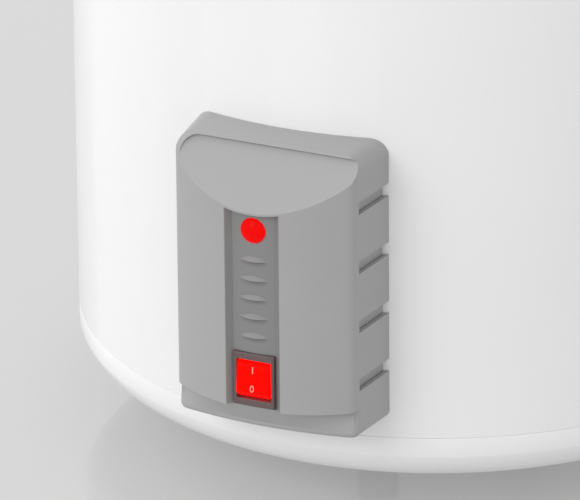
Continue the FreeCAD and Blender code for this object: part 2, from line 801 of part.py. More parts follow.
def magnesium_anode():
    z = FLANGE_Z - ANODE_DROP
    end = PLATE_BACK - ANODE_SHOULDER
    rod = rod_v(ANODE_R, PLATE_BACK - ANODE_REACH, end, 0, z)
    stud = rod_v(ANODE_STUD_R, end - ANODE_STUD_R, PLATE_FACE + ANODE_STUD_OUT, 0, z)
    shoulder = rod_v(SMALL_NUT_AF / 2, end, PLATE_BACK, 0, z)
    return rod.fuse([stud, shoulder]).removeSplitter()


def anode_nut():
    return hex_nut_v(SMALL_NUT_AF, ANODE_NUT_T, ANODE_STUD_R, PLATE_FACE, 0, FLANGE_Z - ANODE_DROP)


def earth_stud():
    """A welded earth stud with its two nuts."""
    u, z = EARTH_X, FLANGE_Z + EARTH_Z
    return rod_v(EARTH_R, PLATE_BACK, PLATE_FACE + EARTH_OUT, u, z)


def earth_nuts():
    u, z = EARTH_X, FLANGE_Z + EARTH_Z
    second = PLATE_FACE + EARTH_NUT_T + EARTH_NUT_GAP
    lower = hex_nut_v(SMALL_NUT_AF, EARTH_NUT_T, EARTH_R, PLATE_FACE, u, z)
    upper = hex_nut_v(SMALL_NUT_AF, EARTH_NUT_T, EARTH_R, second, u, z)
    return Part.makeCompound([lower, upper])


# Thermostat

def thermostat_body():
    """The body stands on two feet on the plate; its dial well and reset hole face the front."""
    half = STAT_W / 2
    body = front_box(-half, half, STAT_BACK, STAT_FACE, STAT_Z, STAT_Z + STAT_H)
    upright = [e for e in body.Edges if abs(e.BoundBox.YLength - STAT_D) < 0.01]
    body = body.makeFillet(STAT_EDGE_R, upright)
    foot_z = STAT_Z + STAT_FOOT_LOW
    for u in (STAT_FOOT_IN - half, half - STAT_FOOT_IN - STAT_FOOT):
        body = body.fuse(front_box(u, u + STAT_FOOT, PLATE_FACE, STAT_BACK, foot_z, foot_z + STAT_FOOT_H))
    z = stat_control_z()
    body = body.cut(rod_v(SPINDLE_R + DIAL_ROOM, STAT_FACE - DIAL_RECESS, STAT_FACE + 1, SPINDLE_X, z))
    body = body.cut(rod_v(SPINDLE_R + RUNNING_FIT, STAT_FACE - DIAL_DEPTH, STAT_FACE + 1, SPINDLE_X, z))
    body = body.cut(rod_v(RESET_R + RUNNING_FIT, STAT_FACE - DIAL_DEPTH - RESET_TRAVEL, STAT_FACE + 1,
                          RESET_X, z))
    return body.removeSplitter()


def stat_control_z():
    return STAT_Z + STAT_H - DIAL_DOWN


def thermostat_stem():
    z = FLANGE_Z + POCKET_RISE
    return rod_v(STEM_R, PLATE_BACK - STEM_REACH, STAT_BACK, 0, z)


def thermostat_spindle():
    z = stat_control_z()
    tip = STAT_FACE + SPINDLE_OUT
    knob = rod_v(SPINDLE_R, STAT_FACE - DIAL_DEPTH + MOVING_GAP, tip, SPINDLE_X, z)
    slot = front_box(SPINDLE_X - 0.6, SPINDLE_X + 0.6, tip - 1.5, tip + 1, z - SPINDLE_R, z + SPINDLE_R)
    return knob.cut(slot)


def reset_button():
    z = stat_control_z()
    back = STAT_FACE - DIAL_DEPTH + MOVING_GAP
    pin = rod_v(RESET_R, back, STAT_FACE + RESET_OUT, RESET_X, z)
    rim = [e for e in pin.Edges if abs(e.BoundBox.YMin + STAT_FACE + RESET_OUT) < 0.01 and e.Length > 5]
    return pin.makeFillet(0.6, rim)


def stat_tab_places():
    """Four blade terminals, two on each side of the thermostat's body."""
    return [(side, z) for side in (-1, 1) for z in (STAT_Z + STAT_TAB_LOW, STAT_Z + STAT_TAB_HIGH)]


def thermostat_tabs():
    tabs = []
    v = STAT_FACE - STAT_TAB_IN
    for side, z in stat_tab_places():
        near, far = sorted((side * STAT_W / 2, side * (STAT_W / 2 + STAT_TAB_OUT)))
        tabs.append(front_box(near, far, v - BLADE_HALF_W, v + BLADE_HALF_W,
                              z - BLADE_HALF_T, z + BLADE_HALF_T))
    return Part.makeCompound(tabs)


# Control cover

def side_half(v):
    """The cover's half width at v, which shrinks with its draft towards the front."""
    return COVER_HALF - (v - TANK_R + COVER_HALF_IN) * math.tan(COVER_DRAFT)


def cover_plan(radius, inset, front_centre):
    """The cover's plan: two drafted sides and a bowed front, with round edges where they meet."""
    slope = math.tan(COVER_DRAFT)
    half_back = side_half(COVER_BACK) - inset / math.cos(COVER_DRAFT)
    edge_r = COVER_EDGE
    # The round edge's centre is edge_r inside the side line and inside the front circle
    line = half_back + COVER_BACK * slope - edge_r / math.cos(COVER_DRAFT)
    a = slope ** 2 + 1
    b = -2 * (line * slope + front_centre)
    c = line ** 2 + front_centre ** 2 - (radius - edge_r) ** 2
    v = (-b + math.sqrt(b * b - 4 * a * c)) / (2 * a)
    centre = V(line - slope * v, -v, 0)
    outward = V(math.cos(COVER_DRAFT), -math.sin(COVER_DRAFT), 0)
    forward = (centre - V(0, -front_centre, 0)).normalize()
    side_end = centre + outward * edge_r
    front_end = centre + forward * edge_r
    between = centre + (outward + forward).normalize() * edge_r
    back = V(half_back, -COVER_BACK, 0)

    def mirrored(point):
        return V(-point.x, point.y, 0)

    return Part.Face(Part.Wire([
        Part.makeLine(back, side_end),
        Part.Arc(side_end, between, front_end).toShape(),
        Part.Arc(front_end, V(0, -front_centre - radius, 0), mirrored(front_end)).toShape(),
        Part.Arc(mirrored(front_end), mirrored(between), mirrored(side_end)).toShape(),
        Part.makeLine(mirrored(side_end), mirrored(back)),
        Part.makeLine(mirrored(back), back),
    ]))


def upright_block(face, z0, z1):
    solid = face.extrude(V(0, 0, z1 - z0))
    solid.translate(V(0, 0, z0))
    return solid


def panel_plan(step, inset):
    """The plan of the front panel, or of a surface behind it by step."""
    return cover_plan(PANEL_R - step - inset, inset, FRONT_CENTRE)


def foot_plan(inset):
    """The plan of the foot, whose front runs round the tank's axis."""
    return cover_plan(FOOT_R - inset, inset, 0.0)


def chin(inset):
    """The foot's upright band, and above it the surface that leans out to the panel."""
    low = COVER_BOTTOM + inset
    turn = max(COVER_BOTTOM + FOOT_BAND, low)
    below, above = foot_plan(inset).OuterWire, panel_plan(PANEL_STEP, inset).OuterWire
    below.translate(V(0, 0, turn))
    above.translate(V(0, 0, PANEL_BOTTOM))
    leaning = Part.makeLoft([below, above], True, True)
    return leaning.fuse(upright_block(foot_plan(inset), low, turn))


def drafted_prism(inset, z0, z1):
    """A rounded block that narrows towards the front as the cover does."""
    low_r, high_r = COVER_LOW_CORNER - inset, COVER_CORNER - inset
    wires = []
    for v in (COVER_BACK - COVER_CORNER, FRONT_CENTRE + PANEL_R + COVER_CORNER):
        wires.append(rounded_rectangle(side_half(v) - inset + SEAT_FIT, z0, z1, low_r, high_r, v))
    return Part.makeLoft(wires, True, True)


def face_slope():
    return math.atan2(FACE_TOP_Z - FACE_LOW_Z, FACE_LOW_V - FACE_TOP_V)


def slope_frame():
    """The top of the slanted face, its direction down the slope and its outward normal."""
    angle = face_slope()
    top = V(0, -FACE_TOP_V, FACE_TOP_Z)
    down = V(0, -math.cos(angle), -math.sin(angle))
    normal = V(0, -math.sin(angle), math.cos(angle))
    return top, down, normal


def above_top(offset, lip, z_top):
    """All that lies outside the slanted plane, moved out by offset, and the flat top.

    The first stretch of the slope stands out by lip at the top of the slanted face and meets the
    plane LIP_RUN further down. Between it and the flat top is a round edge."""
    top, down, normal = slope_frame()
    far = COVER_H / 2
    meet = top + normal * offset + down * LIP_RUN
    start = top + normal * (offset + lip)
    steep = (meet - start).normalize()
    across_steep = V(0, steep.z, -steep.y)
    angle = math.asin(-steep.z)
    ridge = start + steep * ((start.z - z_top) / math.sin(angle))
    reach = TOP_ROUND * math.tan(angle / 2)
    on_top = ridge + V(0, reach, 0)
    on_slope = ridge + steep * reach
    centre = on_top - V(0, 0, TOP_ROUND)
    middle = centre + (V(0, 0, 1) + across_steep).normalize() * TOP_ROUND
    low = meet + down * far
    edges = [
        Part.makeLine(V(0, on_top.y + far, z_top), on_top),
        Part.Arc(on_top, middle, on_slope).toShape(),
        Part.makeLine(on_slope, meet),
        Part.makeLine(meet, low),
        Part.makeLine(low, low + V(0, -far, 0)),
        Part.makeLine(low + V(0, -far, 0), V(0, low.y - far, z_top + far)),
        Part.makeLine(V(0, low.y - far, z_top + far), V(0, on_top.y + far, z_top + far)),
        Part.makeLine(V(0, on_top.y + far, z_top + far), V(0, on_top.y + far, z_top)),
    ]
    face = Part.Face(Part.Wire(edges))
    face.translate(V(-COVER_HALF * 1.5, 0, 0))
    return face.extrude(V(COVER_HALF * 3, 0, 0))


def face_recess():
    """The pocket that leaves the lip standing above the slanted face."""
    top, down, normal = slope_frame()
    r, half = FACE_CORNER, FACE_HALF
    short = r * (1 - math.sqrt(0.5))
    across = V(1, 0, 0)
    deep = down * PANEL_R
    a = top - across * (half - r)
    b = top + across * (half - r)
    right = top + across * half + down * r
    left = top - across * half + down * r
    wire = Part.Wire([
        Part.makeLine(a, b),
        Part.Arc(b, top + across * (half - short) + down * short, right).toShape(),
        Part.makeLine(right, right + deep),
        Part.makeLine(right + deep, left + deep),
        Part.makeLine(left + deep, left),
        Part.Arc(left, top - across * (half - short) + down * short, a).toShape(),
    ])
    return Part.Face(wire).extrude(normal * PANEL_R)


def foot_round_cutter():
    """What is taken off the front's lower edge to round it."""
    centre = V(FOOT_R - FOOT_ROUND, 0, COVER_BOTTOM + FOOT_ROUND)
    out, low = FOOT_R + COVER_EDGE, COVER_BOTTOM - TOOL_OVER
    return spin([
        arc_about(centre, FOOT_ROUND, -90, 0),
        Part.makeLine(V(FOOT_R, 0, centre.z), V(out, 0, centre.z)),
        Part.makeLine(V(out, 0, centre.z), V(out, 0, low)),
        Part.makeLine(V(out, 0, low), V(centre.x, 0, low)),
        Part.makeLine(V(centre.x, 0, low), V(centre.x, 0, COVER_BOTTOM)),
    ])


def channel_cutter():
    """The middle channel, from the chin up to a thin ledge under the slanted face."""
    low, high = PANEL_BOTTOM - 1, COVER_TOP
    wide = CHANNEL_HALF + 0.5
    floor = FRONT_CENTRE + FRONT_R
    near = FRONT_CENTRE + math.sqrt(FRONT_R ** 2 - CHANNEL_FLOOR_HALF ** 2)
    lip_v = FRONT_CENTRE + math.sqrt(PANEL_R ** 2 - CHANNEL_HALF ** 2)
    slope = (CHANNEL_HALF - CHANNEL_FLOOR_HALF) / (lip_v - near)
    far_half = CHANNEL_HALF + slope * (wide - CHANNEL_HALF + 6)
    far = lip_v + 6.5
    left, right = V(-CHANNEL_FLOOR_HALF, -near, 0), V(CHANNEL_FLOOR_HALF, -near, 0)
    far_left, far_right = V(-far_half, -far, 0), V(far_half, -far, 0)
    channel = upright_block(Part.Face(Part.Wire([
        Part.Arc(left, V(0, -floor, 0), right).toShape(),
        Part.makeLine(right, far_right),
        Part.makeLine(far_right, far_left),
        Part.makeLine(far_left, left),
    ])), low, high)
    return channel.cut(above_top(-CHANNEL_LEDGE, 0.0, high))


def cover_cavity():
    low, high = COVER_BOTTOM + COVER_WALL, COVER_TOP - COVER_WALL
    narrow = upright_block(panel_plan(PANEL_STEP, COVER_WALL), PANEL_BOTTOM, high)
    wide = upright_block(panel_plan(0.0, COVER_WALL), PANEL_BOTTOM + COVER_WALL, high)
    spine = CHANNEL_HALF + COVER_WALL
    wide = wide.cut(front_box(-spine, spine, FRONT_CENTRE, FRONT_CENTRE + PANEL_R, low, high + 1))
    cavity = chin(COVER_WALL).fuse(narrow).fuse(wide)
    cavity = cavity.common(drafted_prism(COVER_WALL, low, high))
    cavity = cavity.cut(above_top(-COVER_WALL, 0.0, high))
    return cavity.cut(vent_baffle(-1)).cut(vent_baffle(1))


def vent_baffle(side):
    """A wall close behind the vents of one side, bent outwards in front of them."""
    low, high = COVER_BOTTOM, VENT_TOP_Z + VENT_H / 2 + BAFFLE_OVER
    front = VENT_FRONT + BAFFLE_OVER

    def across(v, behind):
        return side * (side_half(v) - COVER_WALL - behind)

    corners = [
        (COVER_BACK, BAFFLE_GAP + BAFFLE_T), (front, BAFFLE_GAP + BAFFLE_T), (front, -COVER_WALL),
        (front - BAFFLE_T, -COVER_WALL), (front - BAFFLE_T, BAFFLE_GAP), (COVER_BACK, BAFFLE_GAP),
        (COVER_BACK, BAFFLE_GAP + BAFFLE_T),
    ]
    outline = Part.makePolygon([V(across(v, behind), -v, 0) for v, behind in corners])
    return upright_block(Part.Face(outline), low, high)


def louvre_rib(z):
    """A small hooded rib on the channel's floor, sharp above and sloping back below."""
    floor = FRONT_CENTRE + math.sqrt(FRONT_R ** 2 - RIB_HALF ** 2) - RIB_ROOT
    tip = SEAT_V + RIB_OUT
    outline = Part.makePolygon(front_points([
        (-RIB_HALF, floor, z + RIB_UPPER),
        (-RIB_HALF, tip, z + RIB_NOSE_TOP),
        (-RIB_HALF, tip, z - RIB_NOSE_LOW),
        (-RIB_HALF, floor, z - RIB_LOWER),
        (-RIB_HALF, floor, z + RIB_UPPER),
    ]))
    return Part.Face(outline).extrude(V(2 * RIB_HALF, 0, 0))


def cover_hook(u):
    """A hook under the top wall that hangs on the upper edge of the jacket's opening."""
    u0, u1 = u - HOOK_HALF, u + HOOK_HALF
    top = COVER_TOP - COVER_WALL + HOOK_ROOT
    behind = math.sqrt((TANK_R - JACKET_T) ** 2 - (abs(u) + HOOK_HALF) ** 2) - MOVING_GAP
    back = behind - HOOK_TONGUE_T
    stem_v = TANK_R + HOOK_STAND
    low = OPENING_HIGH - HOOK_DROP
    stem = front_box(u0, u1, stem_v, stem_v + HOOK_T, low, top)
    link = front_box(u0, u1, back, stem_v + HOOK_T, low, low + HOOK_LINK_T)
    tongue = front_box(u0, u1, back, behind, low, OPENING_HIGH + HOOK_RISE)
    return stem.fuse([link, tongue])


def control_cover():
    body = upright_block(panel_plan(0.0, 0.0), PANEL_BOTTOM, COVER_TOP).fuse(chin(0.0))
    body = body.common(drafted_prism(0.0, COVER_BOTTOM, COVER_TOP))
    body = body.cut(foot_round_cutter())
    body = body.cut(above_top(0.0, LIP, COVER_TOP))
    body = body.cut(face_recess())
    body = body.cut(channel_cutter())
    body = body.cut(cover_cavity())
    vent_in = side_half(VENT_FRONT) - COVER_WALL - HOLE_FIT
    for k in range(VENT_COUNT):
        z = VENT_TOP_Z - VENT_PITCH * k
        for side in (-1, 1):
            u0, u1 = sorted((side * vent_in, side * (COVER_HALF + COVER_WALL)))
            body = body.cut(front_box(u0, u1, COVER_BACK, VENT_FRONT, z - VENT_H / 2, z + VENT_H / 2))
    body = body.fuse([louvre_rib(RIB_TOP_Z - RIB_PITCH * k) for k in range(RIB_COUNT)])
    body = body.cut(rod_z(TANK_R + SEAT_FIT, COVER_BOTTOM - 1, COVER_TOP + 1))
    body = body.fuse([cover_hook(side * HOOK_X) for side in (-1, 1)])
    body = body.cut(switch_cut_out()).cut(lamp_cut_out())
    for side in (-1, 1):
        body = body.cut(rod_z(COVER_SCREW_R + HOLE_FIT, COVER_BOTTOM - 1, SHELF_Z + 1, side * COVER_SCREW_X,
                              -COVER_SCREW_V))
    return body


def switch_cut_out():
    """A flat seat for the bezel and a window for the housing."""
    seat, hole = BEZEL_HALF + RUNNING_FIT, SWITCH_BODY_HALF + HOLE_FIT
    seat_h, hole_h = BEZEL_H / 2 + RUNNING_FIT, SWITCH_BODY_H / 2 + HOLE_FIT
    outside = FRONT_CENTRE + PANEL_R
    shallow = front_box(-seat, seat, SWITCH_FLOOR, outside, SWITCH_Z - seat_h, SWITCH_Z + seat_h)
    deep = front_box(-hole, hole, switch_back(), outside, SWITCH_Z - hole_h, SWITCH_Z + hole_h)
    return shallow.fuse(deep)


def lamp_cut_out():
    """A flat seat for the lens, a hole for the lamp and a flat behind for its nut."""
    inside, outside = LAMP_FLOOR - LAMP_BODY_D, FRONT_CENTRE + PANEL_R
    seat = rod_v(LAMP_R + RUNNING_FIT, LAMP_FLOOR, outside, 0, LAMP_Z)
    hole = rod_v(LAMP_BODY_R + HOLE_FIT, inside, outside, 0, LAMP_Z)
    behind = rod_v(LAMP_NUT_R + HOLE_FIT, inside, lamp_nut_face(), 0, LAMP_Z)
    return seat.fuse([hole, behind])


def cover_screws():
    """Two pan head screws, driven from below into the bracket."""
    screws = []
    for side in (-1, 1):
        x, y = side * COVER_SCREW_X, -COVER_SCREW_V
        shank = rod_z(COVER_SCREW_R, COVER_BOTTOM, SHELF_Z + SHELF_T + COVER_SCREW_TIP, x, y)
        low = COVER_BOTTOM - COVER_SCREW_HEAD_T
        head = rod_z(COVER_SCREW_HEAD_R, low, COVER_BOTTOM, x, y)
        rim = [e for e in head.Edges if abs(e.BoundBox.ZMax - low) < 0.01 and e.Length > 5]
        head = head.makeFillet(COVER_SCREW_HEAD_ROUND, rim)
        cross = box(x - CROSS_HALF, x + CROSS_HALF, y - CROSS_HALF_T, y + CROSS_HALF_T,
                    low - 1, low + CROSS_DEPTH)
        head = head.cut(cross)
        cross.rotate(V(x, y, 0), V(0, 0, 1), 90)
        screws.append(shank.fuse(head.cut(cross)).removeSplitter())
    return Part.makeCompound(screws)


# Cover bracket and terminal block

def rivet_z():
    return SHELF_Z + SHELF_T + TAB_H / 2


def rivet_back():
    """Where a rivet ends behind the jacket."""
    return math.sqrt((TANK_R - JACKET_T) ** 2 - (RIVET_X + RIVET_R) ** 2) - RIVET_BEHIND


def cover_bracket():
    """A shelf behind the cover's lower edge, with a curved tab riveted to the jacket."""
    inner = TANK_R + SEAT_FIT
    top = SHELF_Z + SHELF_T
    shelf = front_box(-SHELF_HALF, SHELF_HALF, COVER_BACK, SHELF_FRONT, SHELF_Z, top)
    shelf = shelf.common(upright_block(foot_plan(COVER_WALL + SHELF_FIT), SHELF_Z, top))
    shelf = shelf.cut(rod_z(inner, 0, COVER_TOP))
    tab = tube_z(inner + TAB_T, inner, SHELF_Z, top + TAB_H)
    tab = tab.common(front_box(-TAB_HALF, TAB_HALF, RECESS_BACK, WALL_Y, 0, COVER_TOP))
    bracket = shelf.fuse(tab).removeSplitter()
    for side in (-1, 1):
        bracket = bracket.cut(rod_z(COVER_SCREW_R + RUNNING_FIT, 0, COVER_TOP, side * COVER_SCREW_X,
                                    -COVER_SCREW_V))
        bracket = bracket.cut(rod_v(RIVET_R + RUNNING_FIT, RECESS_BACK, WALL_Y, side * RIVET_X, rivet_z()))
    return bracket


def bracket_rivets():
    rivets = []
    for side in (-1, 1):
        u, z = side * RIVET_X, rivet_z()
        face = math.sqrt((TANK_R + SEAT_FIT + TAB_T) ** 2 - (RIVET_X - RIVET_HEAD_R) ** 2) + RUNNING_FIT
        shank = rod_v(RIVET_R, rivet_back(), face + RIVET_HEAD_T / 2, u, z)
        rivets.append(shank.fuse(rod_v(RIVET_HEAD_R, face, face + RIVET_HEAD_T, u, z)).removeSplitter())
    return Part.makeCompound(rivets)


def block_z():
    return SHELF_Z + SHELF_T


def pole_places():
    return [BLOCK_X + POLE_PITCH * k for k in (-1, 0, 1)]


def terminal_block():
    half = BLOCK_W / 2
    low, high = block_z(), block_z() + BLOCK_H
    block = front_box(BLOCK_X - half, BLOCK_X + half, BLOCK_V, BLOCK_V + BLOCK_D, low, high)
    back, front = BLOCK_V - 1, BLOCK_V + BLOCK_D + 1
    groove = high - BLOCK_GROOVE_DEPTH
    for u in (BLOCK_X - POLE_PITCH / 2, BLOCK_X + POLE_PITCH / 2):
        block = block.cut(front_box(u - BLOCK_GROOVE_HALF, u + BLOCK_GROOVE_HALF, back, front,
                                    groove, high + 1))
    for u in pole_places():
        block = block.cut(rod_v(POLE_BORE_R, back, front, u, low + POLE_UP))
        for v in screw_rows():
            block = block.cut(rod_z(POLE_SCREW_BORE_R, low + POLE_UP, high + 1, u, -v))
    return block


def screw_rows():
    return (BLOCK_V + POLE_SCREW_IN, BLOCK_V + BLOCK_D - POLE_SCREW_IN)


def terminal_screws():
    screws = []
    head = block_z() + BLOCK_H - POLE_SCREW_SUNK
    for u in pole_places():
        for v in screw_rows():
            screw = rod_z(POLE_SCREW_R, block_z() + POLE_SCREW_LOW, head, u, -v)
            slot = box(u - POLE_SCREW_BORE_R, u + POLE_SCREW_BORE_R, -v - SLOT_HALF_T, -v + SLOT_HALF_T,
                       head - SLOT_DEPTH, head + 1)
            screws.append(screw.cut(slot))
    return Part.makeCompound(screws)


# Rocker switch and lamp

def rocker_opening_half_h():
    reach = BEZEL_FACE - PIVOT_V
    return math.sqrt(ROCKER_END_R ** 2 - (reach - BEZEL_T) ** 2) + MOVING_GAP


def switch_body():
    """The bezel and the housing behind it, open at the front for the rocker."""
    z0, z1 = SWITCH_Z - BEZEL_H / 2, SWITCH_Z + BEZEL_H / 2
    bezel = front_box(-BEZEL_HALF, BEZEL_HALF, SWITCH_FLOOR, BEZEL_FACE, z0, z1)
    rim = [e for e in bezel.Edges if abs(e.BoundBox.YMin + BEZEL_FACE) < 0.01 and e.BoundBox.YLength < 0.01]
    bezel = bezel.makeFillet(BEZEL_ROUND, rim)
    half_h = SWITCH_BODY_H / 2
    housing = front_box(-SWITCH_BODY_HALF, SWITCH_BODY_HALF, SWITCH_FLOOR - SWITCH_DEPTH, SWITCH_FLOOR,
                        SWITCH_Z - half_h, SWITCH_Z + half_h)
    body = bezel.fuse(housing).removeSplitter()
    well = ROCKER_HALF + MOVING_GAP
    deep = PIVOT_V - WELL_BEHIND_PIVOT
    opening = rocker_opening_half_h()
    body = body.cut(front_box(-well, well, deep, BEZEL_FACE + 1, SWITCH_Z - opening, SWITCH_Z + opening))
    pin = Part.makeCylinder(PIN_R + RUNNING_FIT, 2 * SWITCH_BODY_HALF + 2,
                            V(-SWITCH_BODY_HALF - 1, -PIVOT_V, SWITCH_Z), V(1, 0, 0))
    return body.cut(pin)


def switch_rocker():
    """The rocker at rest in its ON position: the upper half is pressed in."""
    tilt = math.radians(ROCKER_TILT)
    rise = ROCKER_END_R * math.tan(math.radians(ROCKER_VEE))
    # The round ends start where they still clear the well when the rocker is tilted
    end = math.asin((rocker_opening_half_h() - MOVING_GAP / 2) / ROCKER_END_R) - tilt
    skirt_v, skirt_z = ROCKER_END_R * math.cos(end), ROCKER_END_R * math.sin(end)
    drum = Part.makeCylinder(ROCKER_END_R, 2 * ROCKER_HALF, V(-ROCKER_HALF, -PIVOT_V, SWITCH_Z), V(1, 0, 0))
    outline = Part.makePolygon(front_points([
        (-ROCKER_HALF, PIVOT_V - ROCKER_BACK, SWITCH_Z - ROCKER_BACK),
        (-ROCKER_HALF, PIVOT_V + SKIRT_FOOT, SWITCH_Z - skirt_z + SKIRT_LEAN),
        (-ROCKER_HALF, PIVOT_V + skirt_v, SWITCH_Z - skirt_z),
        (-ROCKER_HALF, PIVOT_V + ROCKER_OUT + rise, SWITCH_Z - ROCKER_END_R),
        (-ROCKER_HALF, PIVOT_V + ROCKER_OUT, SWITCH_Z),
        (-ROCKER_HALF, PIVOT_V + ROCKER_OUT + rise, SWITCH_Z + ROCKER_END_R),
        (-ROCKER_HALF, PIVOT_V + skirt_v, SWITCH_Z + skirt_z),
        (-ROCKER_HALF, PIVOT_V + SKIRT_FOOT, SWITCH_Z + skirt_z - SKIRT_LEAN),
        (-ROCKER_HALF, PIVOT_V - ROCKER_BACK, SWITCH_Z + ROCKER_BACK),
        (-ROCKER_HALF, PIVOT_V - ROCKER_BACK, SWITCH_Z - ROCKER_BACK),
    ]))
    rocker = drum.common(Part.Face(outline).extrude(V(2 * ROCKER_HALF, 0, 0)))
    pin_half = SWITCH_BODY_HALF - PIN_FIT
    pin = Part.makeCylinder(PIN_R, 2 * pin_half, V(-pin_half, -PIVOT_V, SWITCH_Z), V(1, 0, 0))
    rocker = rocker.fuse(pin).removeSplitter()
    rocker.rotate(V(0, -PIVOT_V, SWITCH_Z), V(1, 0, 0), -math.degrees(tilt))
    return rocker


def switch_tab_places():
    """Two rows of two blade terminals at the back of the switch."""
    rows = (SWITCH_Z - SWITCH_TAB_Z, SWITCH_Z + SWITCH_TAB_Z)
    return [(side * SWITCH_TAB_X, z) for z in rows for side in (-1, 1)]


def switch_back():
    return SWITCH_FLOOR - SWITCH_DEPTH


def switch_tabs():
    tabs = []
    for u, z in switch_tab_places():
        tabs.append(front_box(u - BLADE_HALF_T, u + BLADE_HALF_T,
                              switch_back() - SWITCH_TAB_OUT, switch_back(),
                              z - SWITCH_TAB_HALF, z + SWITCH_TAB_HALF))
    return Part.makeCompound(tabs)


def lamp_nut_face():
    return LAMP_FLOOR - COVER_WALL + LAMP_SEAT


def lamp_lens():
    """A domed lens with a flat rim that seats on the channel's floor."""
    dome_r = (LAMP_R ** 2 + LAMP_OUT ** 2) / (2 * LAMP_OUT)
    base = LAMP_FLOOR + LAMP_RIM
    dome = Part.makeSphere(dome_r, V(0, -(base + LAMP_OUT - dome_r), LAMP_Z))
    dome = dome.common(rod_v(LAMP_R, base, base + dome_r, 0, LAMP_Z))
    return dome.fuse(rod_v(LAMP_R, LAMP_FLOOR, base, 0, LAMP_Z)).removeSplitter()


def lamp_body():
    back = LAMP_FLOOR - LAMP_BODY_D
    body = rod_v(LAMP_BODY_R, back, LAMP_FLOOR, 0, LAMP_Z)
    for side in (-1, 1):
        u = side * LAMP_TAB_X
        body = body.fuse(front_box(u - LAMP_TAB_HALF_T, u + LAMP_TAB_HALF_T, back - LAMP_TAB_OUT, back,
                                   LAMP_Z - LAMP_TAB_HALF_W, LAMP_Z + LAMP_TAB_HALF_W))
    return body


def lamp_nut():
    face = lamp_nut_face()
    return tube_v(LAMP_NUT_R, LAMP_BODY_R, face - LAMP_NUT_T, face, 0, LAMP_Z)


# Wires

def wire(points):
    return swept_rod(front_points(points), WIRE_R, WIRE_BEND)


def behind_block():
    """The plane in which the wires rise behind the terminal block."""
    return BLOCK_V - WIRE_BEHIND_BLOCK


def behind_switch():
    """Where the leads meet the switch's blades."""
    return switch_back() - SWITCH_TAB_OUT - WIRE_OFF


def stat_lead():
    """How far across and out the leads meet the thermostat's blades."""
    return STAT_W / 2 + STAT_TAB_OUT + WIRE_OFF, STAT_FACE - STAT_TAB_IN


def switch_feed(pole, tab_index):
    """From a pole of the block up to one of the switch's lower terminals."""
    u, z = switch_tab_places()[tab_index]
    low = block_z() + POLE_UP
    return wire([(pole, BLOCK_V + WIRE_IN_BLOCK, low), (pole, behind_block(), low), (u, behind_block(), z),
                 (u, behind_switch(), z)])


def switch_to_thermostat(side):
    """From an upper terminal of the switch to the thermostat's lower terminal on the same side."""
    u, z = switch_tab_places()[2 if side < 0 else 3]
    stat_u, stat_v = stat_lead()
    stat_z = STAT_Z + STAT_TAB_LOW
    near = behind_switch()
    return wire([
        (u, near, z),
        (u, near - WIRE_BACK, z),
        (side * WIRE_NEAR_X, near - WIRE_BACK, z + WIRE_NEAR_UP),
        (side * WIRE_SWING_X, near - WIRE_SWING_BACK, z + WIRE_SWING_UP),
        (side * WIRE_SWING_X, stat_v, stat_z),
        (side * stat_u, stat_v, stat_z),
    ])


def wires_live():
    return Part.makeCompound([switch_feed(pole_places()[1], 0), switch_to_thermostat(-1)])


def wires_neutral():
    return Part.makeCompound([switch_feed(pole_places()[2], 1), switch_to_thermostat(1)])


def wire_earth():
    """From the block's earth pole to a ring tag between the earth stud's two nuts."""
    pole = pole_places()[0]
    v = PLATE_FACE + EARTH_NUT_T + WIRE_OFF
    u, z = EARTH_X, FLANGE_Z + EARTH_Z
    tag = tube_v(TAG_R, EARTH_R + RUNNING_FIT, v, v + TAG_T, u, z)
    tag = tag.fuse(front_box(u - TAG_LENGTH, u - TAG_R + SEAT_LAP, v, v + TAG_T, z - TAG_HALF, z + TAG_HALF))
    low = block_z() + POLE_UP
    lead_v = v + TAG_T - FOAM_FIT
    far = u - EARTH_WIRE_SWING
    run = [
        (pole, BLOCK_V + WIRE_IN_BLOCK, low),
        (pole, behind_block(), low),
        (pole, behind_block(), low + EARTH_WIRE_UP),
        (far, behind_block(), low + EARTH_WIRE_RISE),
        (far, lead_v, z),
        (u - TAG_LENGTH - FOAM_FIT, lead_v, z),
    ]
    return Part.makeCompound([tag, wire(run)])


def wires_element():
    """From the thermostat's upper terminals down to the heating element."""
    leads = []
    stat_u, stat_v = stat_lead()
    upper = STAT_Z + STAT_TAB_HIGH
    far = stat_u + WIRE_LOOP
    tip = blade_tip() + WIRE_OFF
    for side, (u, z) in zip((-1, 1), element_places()):
        leads.append(wire([
            (side * stat_u, stat_v, upper),
            (side * far, stat_v, upper),
            (side * far, stat_v - WIRE_LOOP_BACK, z),
            (u, tip + WIRE_BACK, z - WIRE_DIP),
            (u, tip, z),
        ]))
    return Part.makeCompound(leads)


# Cable entry

def gland_body():
    y = -GLAND_V
    stem = rod_z(GLAND_THREAD_R, 0, GLAND_UP, 0, y)
    flange = hexagon(GLAND_HEX_AF, GLAND_HEX_T, V(0, y, -GLAND_HEX_T), V(0, 0, 1))
    nose = rod_z(GLAND_THREAD_R - GLAND_NOSE_IN, GLAND_LIP - GLAND_DROP, -GLAND_HEX_T, 0, y)
    body = stem.fuse([flange, nose]).removeSplitter()
    return body.cut(rod_z(GLAND_BORE_R + SEAL_T, -GLAND_DROP - 1, GLAND_UP + 1, 0, y))


def gland_seal():
    return tube_z(GLAND_BORE_R + SEAL_T, GLAND_BORE_R, GLAND_LIP - GLAND_DROP, -SEAL_TOP, 0, -GLAND_V)


